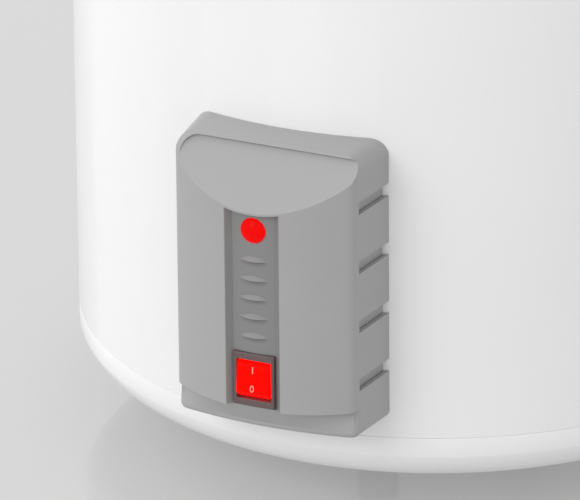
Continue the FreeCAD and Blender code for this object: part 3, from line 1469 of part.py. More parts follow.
def gland_nut():
    y = -GLAND_V
    cup = hexagon(GLAND_HEX_AF, GLAND_DROP - GLAND_LIP, V(0, y, -GLAND_DROP), V(0, 0, 1))
    cup = cup.cut(rod_z(GLAND_THREAD_R - GLAND_NOSE_IN + RUNNING_FIT, GLAND_LIP - GLAND_DROP, 0, 0, y))
    return cup.cut(rod_z(GLAND_BORE_R, -GLAND_DROP - 1, 0, 0, y))


def gland_locknut():
    y = -GLAND_V
    nut = hexagon(LOCKNUT_AF, LOCKNUT_T, V(0, y, CAP_T), V(0, 0, 1))
    return nut.cut(rod_z(GLAND_THREAD_R, 0, GLAND_UP, 0, y))


def conduit_rod(radius, ends=0.0):
    points = front_points([
        (0, GLAND_V, GLAND_UP - ends),
        (0, GLAND_V, CONDUIT_Z),
        (0, CONDUIT_V, CONDUIT_Z),
        (0, CONDUIT_V, OPENING_LOW + CONDUIT_OVER_SILL + ends),
    ])
    return swept_rod(points, radius, CONDUIT_BEND)


def cable_conduit():
    """A plastic tube through the foam, from the gland up to the space behind the cover."""
    return conduit_rod(CONDUIT_R).cut(conduit_rod(CONDUIT_BORE_R, SEAT_LAP))


# Wall bracket and rear spacer

def wall_bracket():
    half_h = BRACKET_H / 2
    low, high = BRACKET_Z - half_h, BRACKET_Z + half_h
    plate_back = WALL_Y - BRACKET_T
    plate = box(-BRACKET_HALF, BRACKET_HALF, plate_back, WALL_Y, low, high)
    upright = [e for e in plate.Edges if abs(e.BoundBox.YLength - BRACKET_T) < 0.01]
    plate = plate.makeFillet(BRACKET_CORNER_R, upright)
    legs = []
    for side in (-1, 1):
        x0 = side * BRACKET_LEG_X - BRACKET_T / 2
        legs.append(box(x0, x0 + BRACKET_T, 0, plate_back, low, high))
    bracket = plate.fuse(legs).removeSplitter().cut(rod_z(VESSEL_R, 0, TANK_H))
    for side in (-1, 1):
        start = V(side * BRACKET_HOLE_SPACING / 2, plate_back - 1, BRACKET_Z)
        bracket = bracket.cut(Part.makeCylinder(BRACKET_HOLE_R, BRACKET_T + 2, start, V(0, 1, 0)))
    return bracket


def rear_spacer():
    """A block under the bracket that keeps the lower end of the tank off the wall."""
    near = TANK_R - SPACER_HALF
    pad = box(-SPACER_HALF, SPACER_HALF, near, WALL_Y, SPACER_Z - SPACER_H / 2, SPACER_Z + SPACER_H / 2)
    edges = [e for e in pad.Edges if abs(e.BoundBox.YLength - (WALL_Y - near)) < 0.01]
    pad = pad.makeFillet(SPACER_CORNER_R, edges)
    return pad.cut(rod_z(TANK_R + LAP_T + SEAT_FIT, 0, TANK_H))


def build():
    left, right = -PIPE_SPACING / 2, PIPE_SPACING / 2
    return {
        "outer_jacket": outer_jacket(),
        "top_cap": cap(False),
        "bottom_cap": cap(True),
        "foam_insulation": foam_insulation(),
        "tank_shell": tank_shell(),
        "tank_upper_head": tank_head(True),
        "tank_lower_head": tank_head(False),
        "cold_inlet": water_nipple(right),
        "hot_outlet": water_nipple(left),
        "cold_diffuser": cold_diffuser(right),
        "hot_standpipe": hot_standpipe(left),
        "cold_collar": pipe_collar(right),
        "hot_collar": pipe_collar(left),
        "flange_neck": flange_neck(),
        "flange_studs": flange_studs(),
        "flange_gasket": flange_gasket(),
        "flange_plate": flange_plate(),
        "flange_nuts": flange_nuts(),
        "heating_element": heating_element(),
        "element_insulators": element_insulators(),
        "element_tabs": element_tabs(),
        "thermostat_pocket": thermostat_pocket(),
        "magnesium_anode": magnesium_anode(),
        "anode_nut": anode_nut(),
        "earth_stud": earth_stud(),
        "earth_nuts": earth_nuts(),
        "thermostat_body": thermostat_body(),
        "thermostat_stem": thermostat_stem(),
        "thermostat_spindle": thermostat_spindle(),
        "thermostat_tabs": thermostat_tabs(),
        "reset_button": reset_button(),
        "control_cover": control_cover(),
        "cover_screws": cover_screws(),
        "cover_bracket": cover_bracket(),
        "bracket_rivets": bracket_rivets(),
        "terminal_block": terminal_block(),
        "terminal_screws": terminal_screws(),
        "switch_body": switch_body(),
        "switch_rocker": switch_rocker(),
        "switch_tabs": switch_tabs(),
        "lamp_lens": lamp_lens(),
        "lamp_body": lamp_body(),
        "lamp_nut": lamp_nut(),
        "wires_live": wires_live(),
        "wires_neutral": wires_neutral(),
        "wires_element": wires_element(),
        "wire_earth": wire_earth(),
        "gland_body": gland_body(),
        "gland_seal": gland_seal(),
        "gland_nut": gland_nut(),
        "gland_locknut": gland_locknut(),
        "cable_conduit": cable_conduit(),
        "wall_bracket": wall_bracket(),
        "rear_spacer": rear_spacer(),
    }


def main():
    os.makedirs("parts", exist_ok=True)
    to_origin = V(0, -WALL_Y, -BRACKET_Z)
    for node, shape in build().items():
        shape.translate(to_origin)
        solids = shape.Solids
        print(node, len(solids), "valid" if shape.isValid() else "NOT VALID", round(shape.Volume, 1))
        shape.exportStep("parts/" + node + ".step")


main()
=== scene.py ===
import json
import math

import bmesh
import bpy
from mathutils import Matrix, Vector


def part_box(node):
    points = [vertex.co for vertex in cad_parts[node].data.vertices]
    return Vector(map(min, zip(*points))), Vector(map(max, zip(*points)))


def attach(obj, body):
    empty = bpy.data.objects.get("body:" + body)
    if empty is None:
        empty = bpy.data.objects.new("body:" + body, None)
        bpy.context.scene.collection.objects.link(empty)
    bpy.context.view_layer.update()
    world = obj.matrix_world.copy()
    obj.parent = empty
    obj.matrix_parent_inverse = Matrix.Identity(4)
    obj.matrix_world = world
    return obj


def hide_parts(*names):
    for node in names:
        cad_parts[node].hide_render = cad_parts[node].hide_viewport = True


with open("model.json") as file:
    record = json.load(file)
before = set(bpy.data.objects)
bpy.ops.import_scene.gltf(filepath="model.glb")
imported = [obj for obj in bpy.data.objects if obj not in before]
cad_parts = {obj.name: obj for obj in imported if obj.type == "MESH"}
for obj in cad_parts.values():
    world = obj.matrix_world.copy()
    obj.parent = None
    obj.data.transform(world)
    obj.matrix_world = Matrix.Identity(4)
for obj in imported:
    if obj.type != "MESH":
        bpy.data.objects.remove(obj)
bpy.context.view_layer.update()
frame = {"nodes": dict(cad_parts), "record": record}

# Lengths are in millimetres about the tank's axis, z up from the underside of the bottom cap,
# the cover facing -y. TO_FRAME takes them to the frame's metres.
MM = 0.001
jacket_low, jacket_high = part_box("outer_jacket")
cap_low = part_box("bottom_cap")[0]
top_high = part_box("top_cap")[1]
cover_low, cover_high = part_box("control_cover")
TANK_R = (jacket_high.x - jacket_low.x) / 2 / MM
AXIS_Y = jacket_low.y / MM + TANK_R
FOOT_Z = cap_low.z / MM
TO_FRAME = Matrix.Scale(MM, 4) @ Matrix.Translation((0.0, AXIS_Y, FOOT_Z))


def heater_box(node):
    """A node's low and high corners in heater millimetres."""
    low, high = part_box(node)
    back = TO_FRAME.inverted()
    return back @ low, back @ high


TANK_H = (top_high.z - cap_low.z) / MM
SEAM_Z = (jacket_low.z - cap_low.z) / MM

# Control cover: u runs across, v outwards from the tank's axis (v = -y)
COVER_BOTTOM = (cover_low.z - cap_low.z) / MM
COVER_TOP = (cover_high.z - cap_low.z) / MM
COVER_HALF = (cover_high.x - cover_low.x) / 2 / MM
COVER_DRAFT = math.radians(6.4)
COVER_DRAFT_V = 187.2
COVER_WALL = 2.5
COVER_BACK = TANK_R - 17.0
FRONT_CENTRE = 158.4
PANEL_R = 81.8
PANEL_STEP = 3.7
PANEL_BOTTOM = 57.7
FRONT_R = PANEL_R - PANEL_STEP
FOOT_R = TANK_R + 32.2
FOOT_BAND = 3.5
FOOT_ROUND = 3.0
FOOT_CORNER = 5.5
SIDE_ROUND = 7.0
STRIP_ROUND = 4.0
CORNER_ROUND = 9.5
LOW_CORNER = 4.0
TOP_ROUND = 5.0

# The slanted face at the cover's top, its pocket and the lip above it
FACE_TOP_V = 214.5
FACE_TOP_Z = 195.0
FACE_LOW_V = 239.7
FACE_LOW_Z = 168.5
FACE_HALF = 48.0
FACE_OPEN = 60.0
FACE_RUN = 60.0
FACE_CORNER = 9.0
LIP = 2.2
LIP_RUN = 12.0

# The middle channel and its ribs
CHANNEL_HALF = 15.5
CHANNEL_FLOOR_HALF = 12.2
CHANNEL_LEDGE = 0.8
# Painted shade: the channel's floor and walls take this share of the cover's grey, standing for the shade in the
# recess
CHANNEL_PAINTED_SHADE = 0.62
RIB_TOP_Z = 140.3
RIB_PITCH = 10.7
RIB_COUNT = 5
RIB_HALF = 8.0
RIB_OUT = 2.2
RIB_RISE = 1.9
RIB_LIP = 0.5
RIB_ROOT = 0.6
# Painted shadow beneath each rib: how far it darkens and its height below the rib's lower edge
RIB_PAINTED_SHADOW = 0.45
RIB_PAINTED_SHADOW_H = 3.6

# Side vents and the walls behind them
VENT_TOP_Z = 170.2
VENT_PITCH = 32.9
VENT_COUNT = 4
VENT_H = 7.0
VENT_FRONT = 217.5
VENT_DEPTH = 2.7
BAFFLE_GAP = 0.6
BAFFLE_T = 1.5
BAFFLE_LEAN = 1.0
BAFFLE_FRONT = VENT_FRONT + 3.0
BAFFLE_BACK = TANK_R - 12.0
BAFFLE_BOTTOM = COVER_BOTTOM + 1.5
BAFFLE_TOP = VENT_TOP_Z + 6.5

# Switch and lamp
SEAT_V = FRONT_CENTRE + FRONT_R
SEAT_GAP = 0.05
SEAT_LEDGE = 1.8
SEAT_HOLE_HALF = 11.2
SWITCH_Z = 73.3
SWITCH_FLOOR = SEAT_V - 1.1
PIVOT_V = 229.8
BEZEL_FACE = SWITCH_FLOOR + 2.4
BEZEL_HALF = 11.8
BEZEL_HALF_H = 15.0
BEZEL_ROUND = 0.9
HOUSING_HALF = 11.0
HOUSING_HALF_H = 13.0
HOUSING_DEPTH = 21.0
WELL_HALF = 9.7
WELL_HALF_H = 11.0
WELL_DEPTH = 7.0
ROCKER_HALF = 9.0
ROCKER_END_R = 12.0
ROCKER_FACE_END = 7.02
ROCKER_OUT = 9.3
ROCKER_SKIRT = 0.6
ROCKER_TILT = math.radians(-6.5)
ROCKER_VEE = math.radians(3.5)
TRUNNION_R = 1.25
TRUNNION_END = 10.8
SIGN_Z = 5.05
SIGN_HALF_H = 1.85
SIGN_HALF = 1.15
SIGN_STROKE = 0.5
SIGN_BAR_HALF = 0.32
SIGN_T = 0.06
SIGN_PROUD = 0.02
LENS_R = 6.9
LENS_RIM = 0.9
LENS_RISE = 3.1
LENS_GAP = 0.1
LENS_SEAT = 0.5
LAMP_HOLE_R = 5.2

# How finely the curves are drawn
TURN_STEPS = 256
PART_STEPS = 96
HOLE_STEPS = 64
FRONT_STEPS = 32
CORNER_STEPS = 12
CHIN_STEPS = 6
RIB_STEPS = 10
SIGN_STEPS = 40

# Offsets that keep the faces of two joined or cut blocks from lying in one plane
HAIR = 0.01
SIDE_HAIR = 0.15
POCKET_HAIR = 0.015
FLOOR_HAIR = 0.03


# Mesh helpers

def piece(name, bm, body, material, replaces=(), smooth_deg=35.0):
    """Turns a bmesh drawn in heater millimetres into a piece that rides on a body."""
    bm.transform(TO_FRAME)
    bmesh.ops.recalc_face_normals(bm, faces=bm.faces[:])
    mesh = bpy.data.meshes.new(name)
    bm.to_mesh(mesh)
    bm.free()
    mesh.shade_smooth()
    mesh.set_sharp_from_angle(angle=math.radians(smooth_deg))
    obj = bpy.data.objects.new(name, mesh)
    bpy.context.scene.collection.objects.link(obj)
    mesh.materials.append(material)
    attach(obj, body)
    if replaces:
        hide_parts(*replaces)
    return obj


def profile(points):
    """A closed wire in the x-z plane."""
    bm = bmesh.new()
    verts = [bm.verts.new((x, 0.0, z)) for x, z in points]
    for a, b in zip(verts, verts[1:] + verts[:1]):
        bm.edges.new((a, b))
    return bm, verts


def round_corners(bm, verts, radius, segments=6):
    """Rounds the named corners of a flat wire or the ends of a flat face."""
    bmesh.ops.bevel(bm, geom=verts, offset=radius, offset_type="OFFSET", segments=segments, profile=0.5,
                    affect="VERTICES", material=-1)


def turn(bm, centre=(0.0, 0.0), steps=TURN_STEPS):
    """Spins a closed wire a full turn about the upright line through centre."""
    bmesh.ops.spin(bm, geom=bm.verts[:] + bm.edges[:], cent=(centre[0], centre[1], 0.0), axis=(0, 0, 1),
                   angle=math.tau, steps=steps, use_merge=True, use_duplicate=False)
    bmesh.ops.remove_doubles(bm, verts=bm.verts[:], dist=1e-4)
    return bm


def close_flat(bm):
    """Fills a closed wire with one face."""
    return bmesh.ops.contextual_create(bm, geom=bm.edges[:])["faces"]


def raise_face(bm, faces, vector):
    """Extrudes a flat face into a block."""
    made = bmesh.ops.extrude_face_region(bm, geom=faces)
    moved = [g for g in made["geom"] if isinstance(g, bmesh.types.BMVert)]
    bmesh.ops.translate(bm, verts=moved, vec=vector)
    bmesh.ops.recalc_face_normals(bm, faces=bm.faces[:])
    return bm


def block(x0, x1, y0, y1, z0, z1):
    bm = bmesh.new()
    size = Vector((x1 - x0, y1 - y0, z1 - z0))
    middle = Vector((x1 + x0, y1 + y0, z1 + z0)) / 2
    bmesh.ops.create_cube(bm, size=1.0, matrix=Matrix.Translation(middle) @ Matrix.Diagonal((*size, 1.0)))
    return bm


def rod(radius, start, end, steps=48):
    """A cylinder between two points."""
    bm = bmesh.new()
    start, end = Vector(start), Vector(end)
    along = end - start
    turn_to = along.to_track_quat("Z", "Y").to_matrix().to_4x4()
    bmesh.ops.create_cone(bm, cap_ends=True, segments=steps, radius1=radius, radius2=radius,
                          depth=along.length, matrix=Matrix.Translation((start + end) / 2) @ turn_to)
    return bm


def combine(bm, other, operation):
    """Joins, cuts or keeps the common part of two closed bmeshes."""
    objects = []
    for name, source in (("work", bm), ("tool", other)):
        bmesh.ops.recalc_face_normals(source, faces=source.faces[:])
        mesh = bpy.data.meshes.new(name)
        source.to_mesh(mesh)
        source.free()
        obj = bpy.data.objects.new(name, mesh)
        bpy.context.scene.collection.objects.link(obj)
        objects.append(obj)
    work, tool = objects
    modifier = work.modifiers.new("combine", "BOOLEAN")
    modifier.operation = operation
    modifier.solver = "EXACT"
    modifier.object = tool
    shaped = work.evaluated_get(bpy.context.evaluated_depsgraph_get())
    result = bmesh.new()
    result.from_mesh(shaped.to_mesh())
    shaped.to_mesh_clear()
    for obj in objects:
        mesh = obj.data
        bpy.data.objects.remove(obj)
        bpy.data.meshes.remove(mesh)
    bmesh.ops.remove_doubles(result, verts=result.verts[:], dist=0.002)
    return result


def cut(bm, tool):
    return combine(bm, tool, "DIFFERENCE")


def join(bm, tool):
    return combine(bm, tool, "UNION")


def with_bevel(obj, width_mm, segments=3, angle_deg=30.0):
    """A fine round on every crisp edge of a finished piece, its flat faces kept flat in the light."""
    modifier = obj.modifiers.new("edge_round", "BEVEL")
    modifier.width = width_mm * MM
    modifier.segments = segments
    modifier.limit_method = "ANGLE"
    modifier.angle_limit = math.radians(angle_deg)
    modifier.harden_normals = True
    modifier.miter_outer = "MITER_ARC"
    return obj


def with_flat_faces(obj):
    """Lets the wide faces set the light on a piece's soft creases."""
    modifier = obj.modifiers.new("wide_faces", "WEIGHTED_NORMAL")
    modifier.weight = 100
    modifier.keep_sharp = True
    return obj


def slope_frame():
    """The slanted face's upper edge, the way down along it and its normal."""
    angle = math.atan2(FACE_TOP_Z - FACE_LOW_Z, FACE_LOW_V - FACE_TOP_V)
    top = Vector((0, -FACE_TOP_V, FACE_TOP_Z))
    down = Vector((0, -math.cos(angle), -math.sin(angle)))
    normal = Vector((0, -math.sin(angle), math.cos(angle)))
    return top, down, normal


# Shader groups

def new_group(name, inputs, outputs):
    group = bpy.data.node_groups.new(name, "ShaderNodeTree")
    for label, kind, value in inputs:
        socket = group.interface.new_socket(name=label, in_out="INPUT", socket_type=kind)
        socket.default_value = value
    for label, kind in outputs:
        group.interface.new_socket(name=label, in_out="OUTPUT", socket_type=kind)
    nodes = group.nodes
    return group, nodes.new("NodeGroupInput"), nodes.new("NodeGroupOutput")


def surface_grain_group():
    """Fine moulded or sprayed grain, with a slow drift of tone under it."""
    group, start, end = new_group(
        "surface_grain",
        [("Grain Size", "NodeSocketFloat", 0.0006), ("Drift Size", "NodeSocketFloat", 0.08)],
        [("Height", "NodeSocketFloat"), ("Tone", "NodeSocketFloat")],
    )
    nodes, links = group.nodes, group.links
    where = nodes.new("ShaderNodeTexCoord")
    for size_name, out_name, detail in (("Grain Size", "Height", 2.0), ("Drift Size", "Tone", 3.0)):
        per_metre = nodes.new("ShaderNodeMath")
        per_metre.operation = "DIVIDE"
        per_metre.inputs[0].default_value = 1.0
        links.new(start.outputs[size_name], per_metre.inputs[1])
        noise = nodes.new("ShaderNodeTexNoise")
        noise.inputs["Detail"].default_value = detail
        links.new(where.outputs["Object"], noise.inputs["Vector"])
        links.new(per_metre.outputs[0], noise.inputs["Scale"])
        links.new(noise.outputs["Fac"], end.inputs[out_name])
    return group


def brushed_group():
    """Long scratches along one axis, as on drawn or brushed metal."""
    group, start, end = new_group(
        "brushed_lines",
        [("Line Size", "NodeSocketFloat", 0.0004), ("Stretch", "NodeSocketVector", (1.0, 1.0, 0.03))],
        [("Height", "NodeSocketFloat")],
    )
    nodes, links = group.nodes, group.links
    where = nodes.new("ShaderNodeTexCoord")
    stretch = nodes.new("ShaderNodeVectorMath")
    stretch.operation = "MULTIPLY"
    per_metre = nodes.new("ShaderNodeMath")
    per_metre.operation = "DIVIDE"
    per_metre.inputs[0].default_value = 1.0
    noise = nodes.new("ShaderNodeTexNoise")
    noise.inputs["Detail"].default_value = 4.0
    links.new(where.outputs["Object"], stretch.inputs[0])
    links.new(start.outputs["Stretch"], stretch.inputs[1])
    links.new(start.outputs["Line Size"], per_metre.inputs[1])
    links.new(stretch.outputs[0], noise.inputs["Vector"])
    links.new(per_metre.outputs[0], noise.inputs["Scale"])
    links.new(noise.outputs["Fac"], end.inputs["Height"])
    return group


GRAIN = surface_grain_group()
BRUSHED = brushed_group()


def shader(name):
    material = bpy.data.materials.new(name)
    material.use_nodes = True
    nodes, links = material.node_tree.nodes, material.node_tree.links
    return material, nodes, links, nodes["Principled BSDF"]


def tone_ramp(nodes, links, value, low, high):
    """Two close colours mixed by a slow noise."""
    ramp = nodes.new("ShaderNodeValToRGB")
    ramp.color_ramp.elements[0].position = 0.3
    ramp.color_ramp.elements[1].position = 0.7
    ramp.color_ramp.elements[0].color = (*low, 1.0)
    ramp.color_ramp.elements[1].color = (*high, 1.0)
    links.new(value, ramp.inputs["Fac"])
    return ramp.outputs["Color"]


def spread(nodes, links, value, low, high):
    """Maps a noise to a narrow range, such as a roughness."""
    span = nodes.new("ShaderNodeMapRange")
    span.inputs["From Min"].default_value = 0.3
    span.inputs["From Max"].default_value = 0.7
    span.inputs["To Min"].default_value = low
    span.inputs["To Max"].default_value = high
    links.new(value, span.inputs["Value"])
    return span.outputs["Result"]


def bump(nodes, links, height, distance_mm, strength):
    node = nodes.new("ShaderNodeBump")
    node.inputs["Strength"].default_value = strength
    node.inputs["Distance"].default_value = distance_mm * MM
    links.new(height, node.inputs["Height"])
    return node.outputs["Normal"]


def coated(name, colour, roughness, grain_mm, depth_mm, drift=0.02, coat=0.0, metallic=0.0, strength=0.4):
    """Paint, moulded plastic or rubber: one colour with grain and a slight drift of tone and gloss."""
    material, nodes, links, bsdf = shader(name)
    grain = nodes.new("ShaderNodeGroup")
    grain.node_tree = GRAIN
    grain.inputs["Grain Size"].default_value = grain_mm * MM
    low = tuple(c * (1.0 - drift) for c in colour)
    high = tuple(min(1.0, c * (1.0 + drift)) for c in colour)
    links.new(tone_ramp(nodes, links, grain.outputs["Tone"], low, high), bsdf.inputs["Base Color"])
    gloss = spread(nodes, links, grain.outputs["Tone"], roughness * 0.92, roughness * 1.08)
    links.new(gloss, bsdf.inputs["Roughness"])
    links.new(bump(nodes, links, grain.outputs["Height"], depth_mm, strength), bsdf.inputs["Normal"])
    bsdf.inputs["Metallic"].default_value = metallic
    bsdf.inputs["Coat Weight"].default_value = coat
    bsdf.inputs["Coat Roughness"].default_value = 0.08
    return material


def metal(name, colour, roughness, line_mm, stretch, depth_mm=0.01):
    """Plated, drawn or brushed metal."""
    material, nodes, links, bsdf = shader(name)
    lines = nodes.new("ShaderNodeGroup")
    lines.node_tree = BRUSHED
    lines.inputs["Line Size"].default_value = line_mm * MM
    lines.inputs["Stretch"].default_value = stretch
    low = tuple(c * 0.88 for c in colour)
    links.new(tone_ramp(nodes, links, lines.outputs["Height"], low, colour), bsdf.inputs["Base Color"])
    gloss = spread(nodes, links, lines.outputs["Height"], roughness * 0.8, roughness * 1.2)
    links.new(gloss, bsdf.inputs["Roughness"])
    links.new(bump(nodes, links, lines.outputs["Height"], depth_mm, 0.3), bsdf.inputs["Normal"])
    bsdf.inputs["Metallic"].default_value = 1.0
    return material


def lit(name, colour, glow, strength, roughness):
    """Red plastic lit from behind."""
    material, nodes, links, bsdf = shader(name)
    grain = nodes.new("ShaderNodeGroup")
    grain.node_tree = GRAIN
    grain.inputs["Grain Size"].default_value = 1.2 * MM
    grain.inputs["Drift Size"].default_value = 6.0 * MM
    low = tuple(c * 0.94 for c in colour)
    links.new(tone_ramp(nodes, links, grain.outputs["Tone"], low, colour), bsdf.inputs["Base Color"])
    links.new(bump(nodes, links, grain.outputs["Height"], 0.01, 0.2), bsdf.inputs["Normal"])
    bsdf.inputs["Roughness"].default_value = roughness
    bsdf.inputs["Specular IOR Level"].default_value = 0.03
    bsdf.inputs["Emission Color"].default_value = (*glow, 1.0)
    bsdf.inputs["Emission Strength"].default_value = strength
    return material


def paint_channel_shade(material):
    """Paints shade into the cover's colour by place: the middle channel's recess darker, and a painted shadow
    fading down beneath each rib.
    """
    nodes, links = material.node_tree.nodes, material.node_tree.links
    bsdf = nodes["Principled BSDF"]
    colour = bsdf.inputs["Base Color"].links[0].from_socket

    def calculate(operation, first, second):
        node = nodes.new("ShaderNodeMath")
        node.operation = operation
        for socket, value in zip(node.inputs, (first, second)):
            if isinstance(value, float):
                socket.default_value = value
            else:
                links.new(value, socket)
        return node.outputs[0]

    def along(direction):
        """The distance in metres along a direction from a point on the cover."""
        node = nodes.new("ShaderNodeVectorMath")
        node.operation = "DOT_PRODUCT"
        node.inputs[1].default_value = direction
        links.new(where.outputs["Object"], node.inputs[0])
        return node.outputs["Value"]

    def product(first, *others):
        for other in others:
            first = calculate("MULTIPLY", first, other)
        return first

    slack = 0.1
    where = nodes.new("ShaderNodeTexCoord")
    top, down, normal = slope_frame()
    ledge = ((TO_FRAME @ (top - normal * CHANNEL_LEDGE)) @ normal) - slack * MM
    centre_y = (AXIS_Y - FRONT_CENTRE) * MM
    sideways = calculate("ABSOLUTE", along((1.0, 0.0, 0.0)), 0.0)
    forward = calculate("SUBTRACT", along((0.0, 1.0, 0.0)), centre_y)
    height = along((0.0, 0.0, 1.0))
    around = calculate("ADD", calculate("POWER", sideways, 2.0), calculate("POWER", forward, 2.0))
    around = calculate("SQRT", around, 0.0)
    inside = product(
        calculate("LESS_THAN", sideways, (CHANNEL_HALF + slack) * MM),
        calculate("LESS_THAN", around, (PANEL_R - 3 * slack) * MM),
        calculate("GREATER_THAN", around, (FRONT_R - COVER_WALL / 2) * MM),
        calculate("LESS_THAN", along(tuple(normal)), ledge),
        calculate("GREATER_THAN", height, (FOOT_Z + PANEL_BOTTOM + slack) * MM),
    )
    below = calculate("SUBTRACT", (FOOT_Z + RIB_TOP_Z) * MM, height)
    step = calculate("FLOORED_MODULO", below, RIB_PITCH * MM)
    fade_down = calculate("SUBTRACT", 1.0, calculate("DIVIDE", step, RIB_PAINTED_SHADOW_H * MM))
    fade_out = calculate("POWER", calculate("DIVIDE", sideways, RIB_HALF * MM), 2.0)
    shade = product(
        calculate("MAXIMUM", fade_down, 0.0),
        calculate("MAXIMUM", calculate("SUBTRACT", 1.0, fade_out), 0.0),
        calculate("GREATER_THAN", below, 0.0),
        calculate("LESS_THAN", below, (RIB_COUNT * RIB_PITCH - 1.0) * MM),
        inside,
        RIB_PAINTED_SHADOW,
    )
    # First the painted shade of the channel, then the painted shadow under each rib
    for factor, tone in ((inside, CHANNEL_PAINTED_SHADE), (shade, 0.0)):
        mix = nodes.new("ShaderNodeMix")
        mix.data_type = "RGBA"
        mix.blend_type = "MULTIPLY"
        links.new(factor, mix.inputs["Factor"])
        links.new(colour, mix.inputs["A"])
        mix.inputs["B"].default_value = (tone, tone, tone, 1.0)
        colour = mix.outputs["Result"]
    links.new(colour, bsdf.inputs["Base Color"])
    return material


def make_materials():
    """A material per slot: name, colour, roughness, grain size and depth in mm, drift of tone.

    For metals: name, colour, roughness, line width in mm and the lines' stretch."""
    upright, across = (1.0, 1.0, 0.03), (1.0, 0.03, 1.0)
    return {
        "jacket_paint": coated("white_enamel", (0.89, 0.89, 0.89), 0.32, 2.2, 0.010, 0.006, coat=0.35),
        "cap_plastic": coated("white_moulded_cap", (0.88, 0.88, 0.88), 0.30, 1.4, 0.010, 0.008, coat=0.2),
        "foam": coated("rigid_foam", (0.80, 0.68, 0.38), 0.9, 0.8, 0.3, 0.10, strength=1.0),
        "vessel_steel": coated("enamelled_steel", (0.03, 0.05, 0.09), 0.25, 1.5, 0.03, 0.15, coat=0.5),
        "zinc_steel": metal("zinc_plated_steel", (0.62, 0.63, 0.64), 0.34, 0.5, upright),
        "element_sheath": metal("bright_sheath", (0.55, 0.52, 0.49), 0.28, 0.4, across),
        "magnesium": coated("cast_magnesium", (0.45, 0.45, 0.44), 0.6, 0.7, 0.08, 0.08, metallic=0.9),
        "gasket_rubber": coated("gasket_rubber", (0.018, 0.018, 0.018), 0.75, 0.4, 0.03, 0.10),
        "ceramic": coated("glazed_ceramic", (0.78, 0.76, 0.70), 0.18, 1.0, 0.01, 0.03, coat=0.6),
        "brass": metal("plain_brass", (0.80, 0.58, 0.27), 0.28, 0.4, across),
        "inner_plastic": coated("black_moulding", (0.02, 0.02, 0.022), 0.45, 0.5, 0.02, 0.10),
        "pale_plastic": coated("natural_moulding", (0.66, 0.66, 0.60), 0.45, 0.5, 0.02, 0.04),
        "reset_plastic": coated("red_button", (0.55, 0.01, 0.01), 0.30, 0.6, 0.01, 0.05),
        # The cover's grey carries the painted shade of its channel and the painted shadows under the ribs
        "cover_plastic": paint_channel_shade(coated("grey_moulding_painted_shade", (0.38, 0.38, 0.38), 0.46, 0.55, 0.020, 0.015)),
        # The ribs' grey is darker than the cover's, a painted share of the channel's shade
        "rib_plastic": coated("rib_moulding_painted_shade", (0.31, 0.31, 0.31), 0.46, 0.55, 0.020, 0.015),
        # Dark grey plastic with a painted red glow from the lit rocker in its colour
        "bezel_plastic": coated("dark_bezel_painted_red_glow", (0.115, 0.075, 0.075), 0.35, 0.5, 0.012, 0.06),
        "rocker_red": lit("lit_rocker", (0.05, 0.0006, 0.0004), (1.0, 0.001, 0.0), 2.0, 0.35),
        "lamp_red": lit("lit_lamp", (0.06, 0.0012, 0.0010), (1.0, 0.003, 0.003), 0.85, 0.28),
        "wire_brown": coated("brown_insulation", (0.10, 0.035, 0.015), 0.45, 0.6, 0.02, 0.06),
        "wire_blue": coated("blue_insulation", (0.02, 0.08, 0.40), 0.45, 0.6, 0.02, 0.06),
        "wire_green": coated("green_insulation", (0.08, 0.32, 0.04), 0.45, 0.6, 0.02, 0.06),
        "cold_blue": coated("blue_collar", (0.02, 0.08, 0.50), 0.35, 0.6, 0.015, 0.04),
        "hot_red": coated("red_collar", (0.60, 0.015, 0.012), 0.35, 0.6, 0.015, 0.04),
        "gland_plastic": coated("gland_moulding", (0.50, 0.50, 0.50), 0.42, 0.5, 0.02, 0.03),
        "bracket_paint": coated("bracket_paint", (0.78, 0.78, 0.78), 0.40, 1.0, 0.02, 0.02, coat=0.2),
        "glyph_white": coated("pale_print", (0.72, 0.32, 0.26), 0.5, 0.4, 0.005, 0.02),
    }


MATERIALS = make_materials()
SLOTS = {part["node"]: part["material_slot"] for part in frame["record"]["subparts"]}


def dress_cad_nodes():
    """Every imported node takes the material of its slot."""
    for name, node in frame["nodes"].items():
        node.data.materials.clear()
        node.data.materials.append(MATERIALS[SLOTS[name]])


def stand_in(node, name, bm, body="heater", smooth_deg=35.0):
    """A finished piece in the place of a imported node, in the node's own material."""
    slot = SLOTS[node]
    return piece(name, bm, body, MATERIALS[slot], [node], smooth_deg)


def refined(node, width_mm, segments=3, angle_deg=30.0):
    """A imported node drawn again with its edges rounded."""
    source = frame["nodes"][node]
    bm = bmesh.new()
    bm.from_mesh(source.data)
    bm.transform(TO_FRAME.inverted() @ source.matrix_world)
    bmesh.ops.remove_doubles(bm, verts=bm.verts[:], dist=0.002)
    bmesh.ops.dissolve_limit(bm, angle_limit=math.radians(1.0), verts=bm.verts[:], edges=bm.edges[:])
    return with_bevel(stand_in(node, node + "_form", bm), width_mm, segments, angle_deg)


# Outer body

JACKET_T = 0.8
SHEET_ROUND = 0.2
CAP_T = 2.2
CAP_EDGE_Z = 19.5
CAP_CREASE = math.radians(20)
CAP_EDGE_R = CAP_EDGE_Z / (1 - math.sin(CAP_CREASE))
CAP_EDGE_STEPS = 28
REBATE_H = 11.5
REBATE_GAP = 0.15
SEAM_GAP = 0.12
OPENING_HALF = 48.5
OPENING_Z = (58.0, 182.0)
HOOK_SLOT_X = 60.0
HOOK_SLOT_HALF = 1.7
HOOK_SLOT_Z = (497.8, 542.2)
LAP_HALF = 4.5
LAP_T = 0.7
LAP_END = 0.6
PIPE_X = 50.0
CAP_HOLES = ((-PIPE_X, 0.0, 14.2), (PIPE_X, 0.0, 14.2), (0.0, -80.0, 7.8))


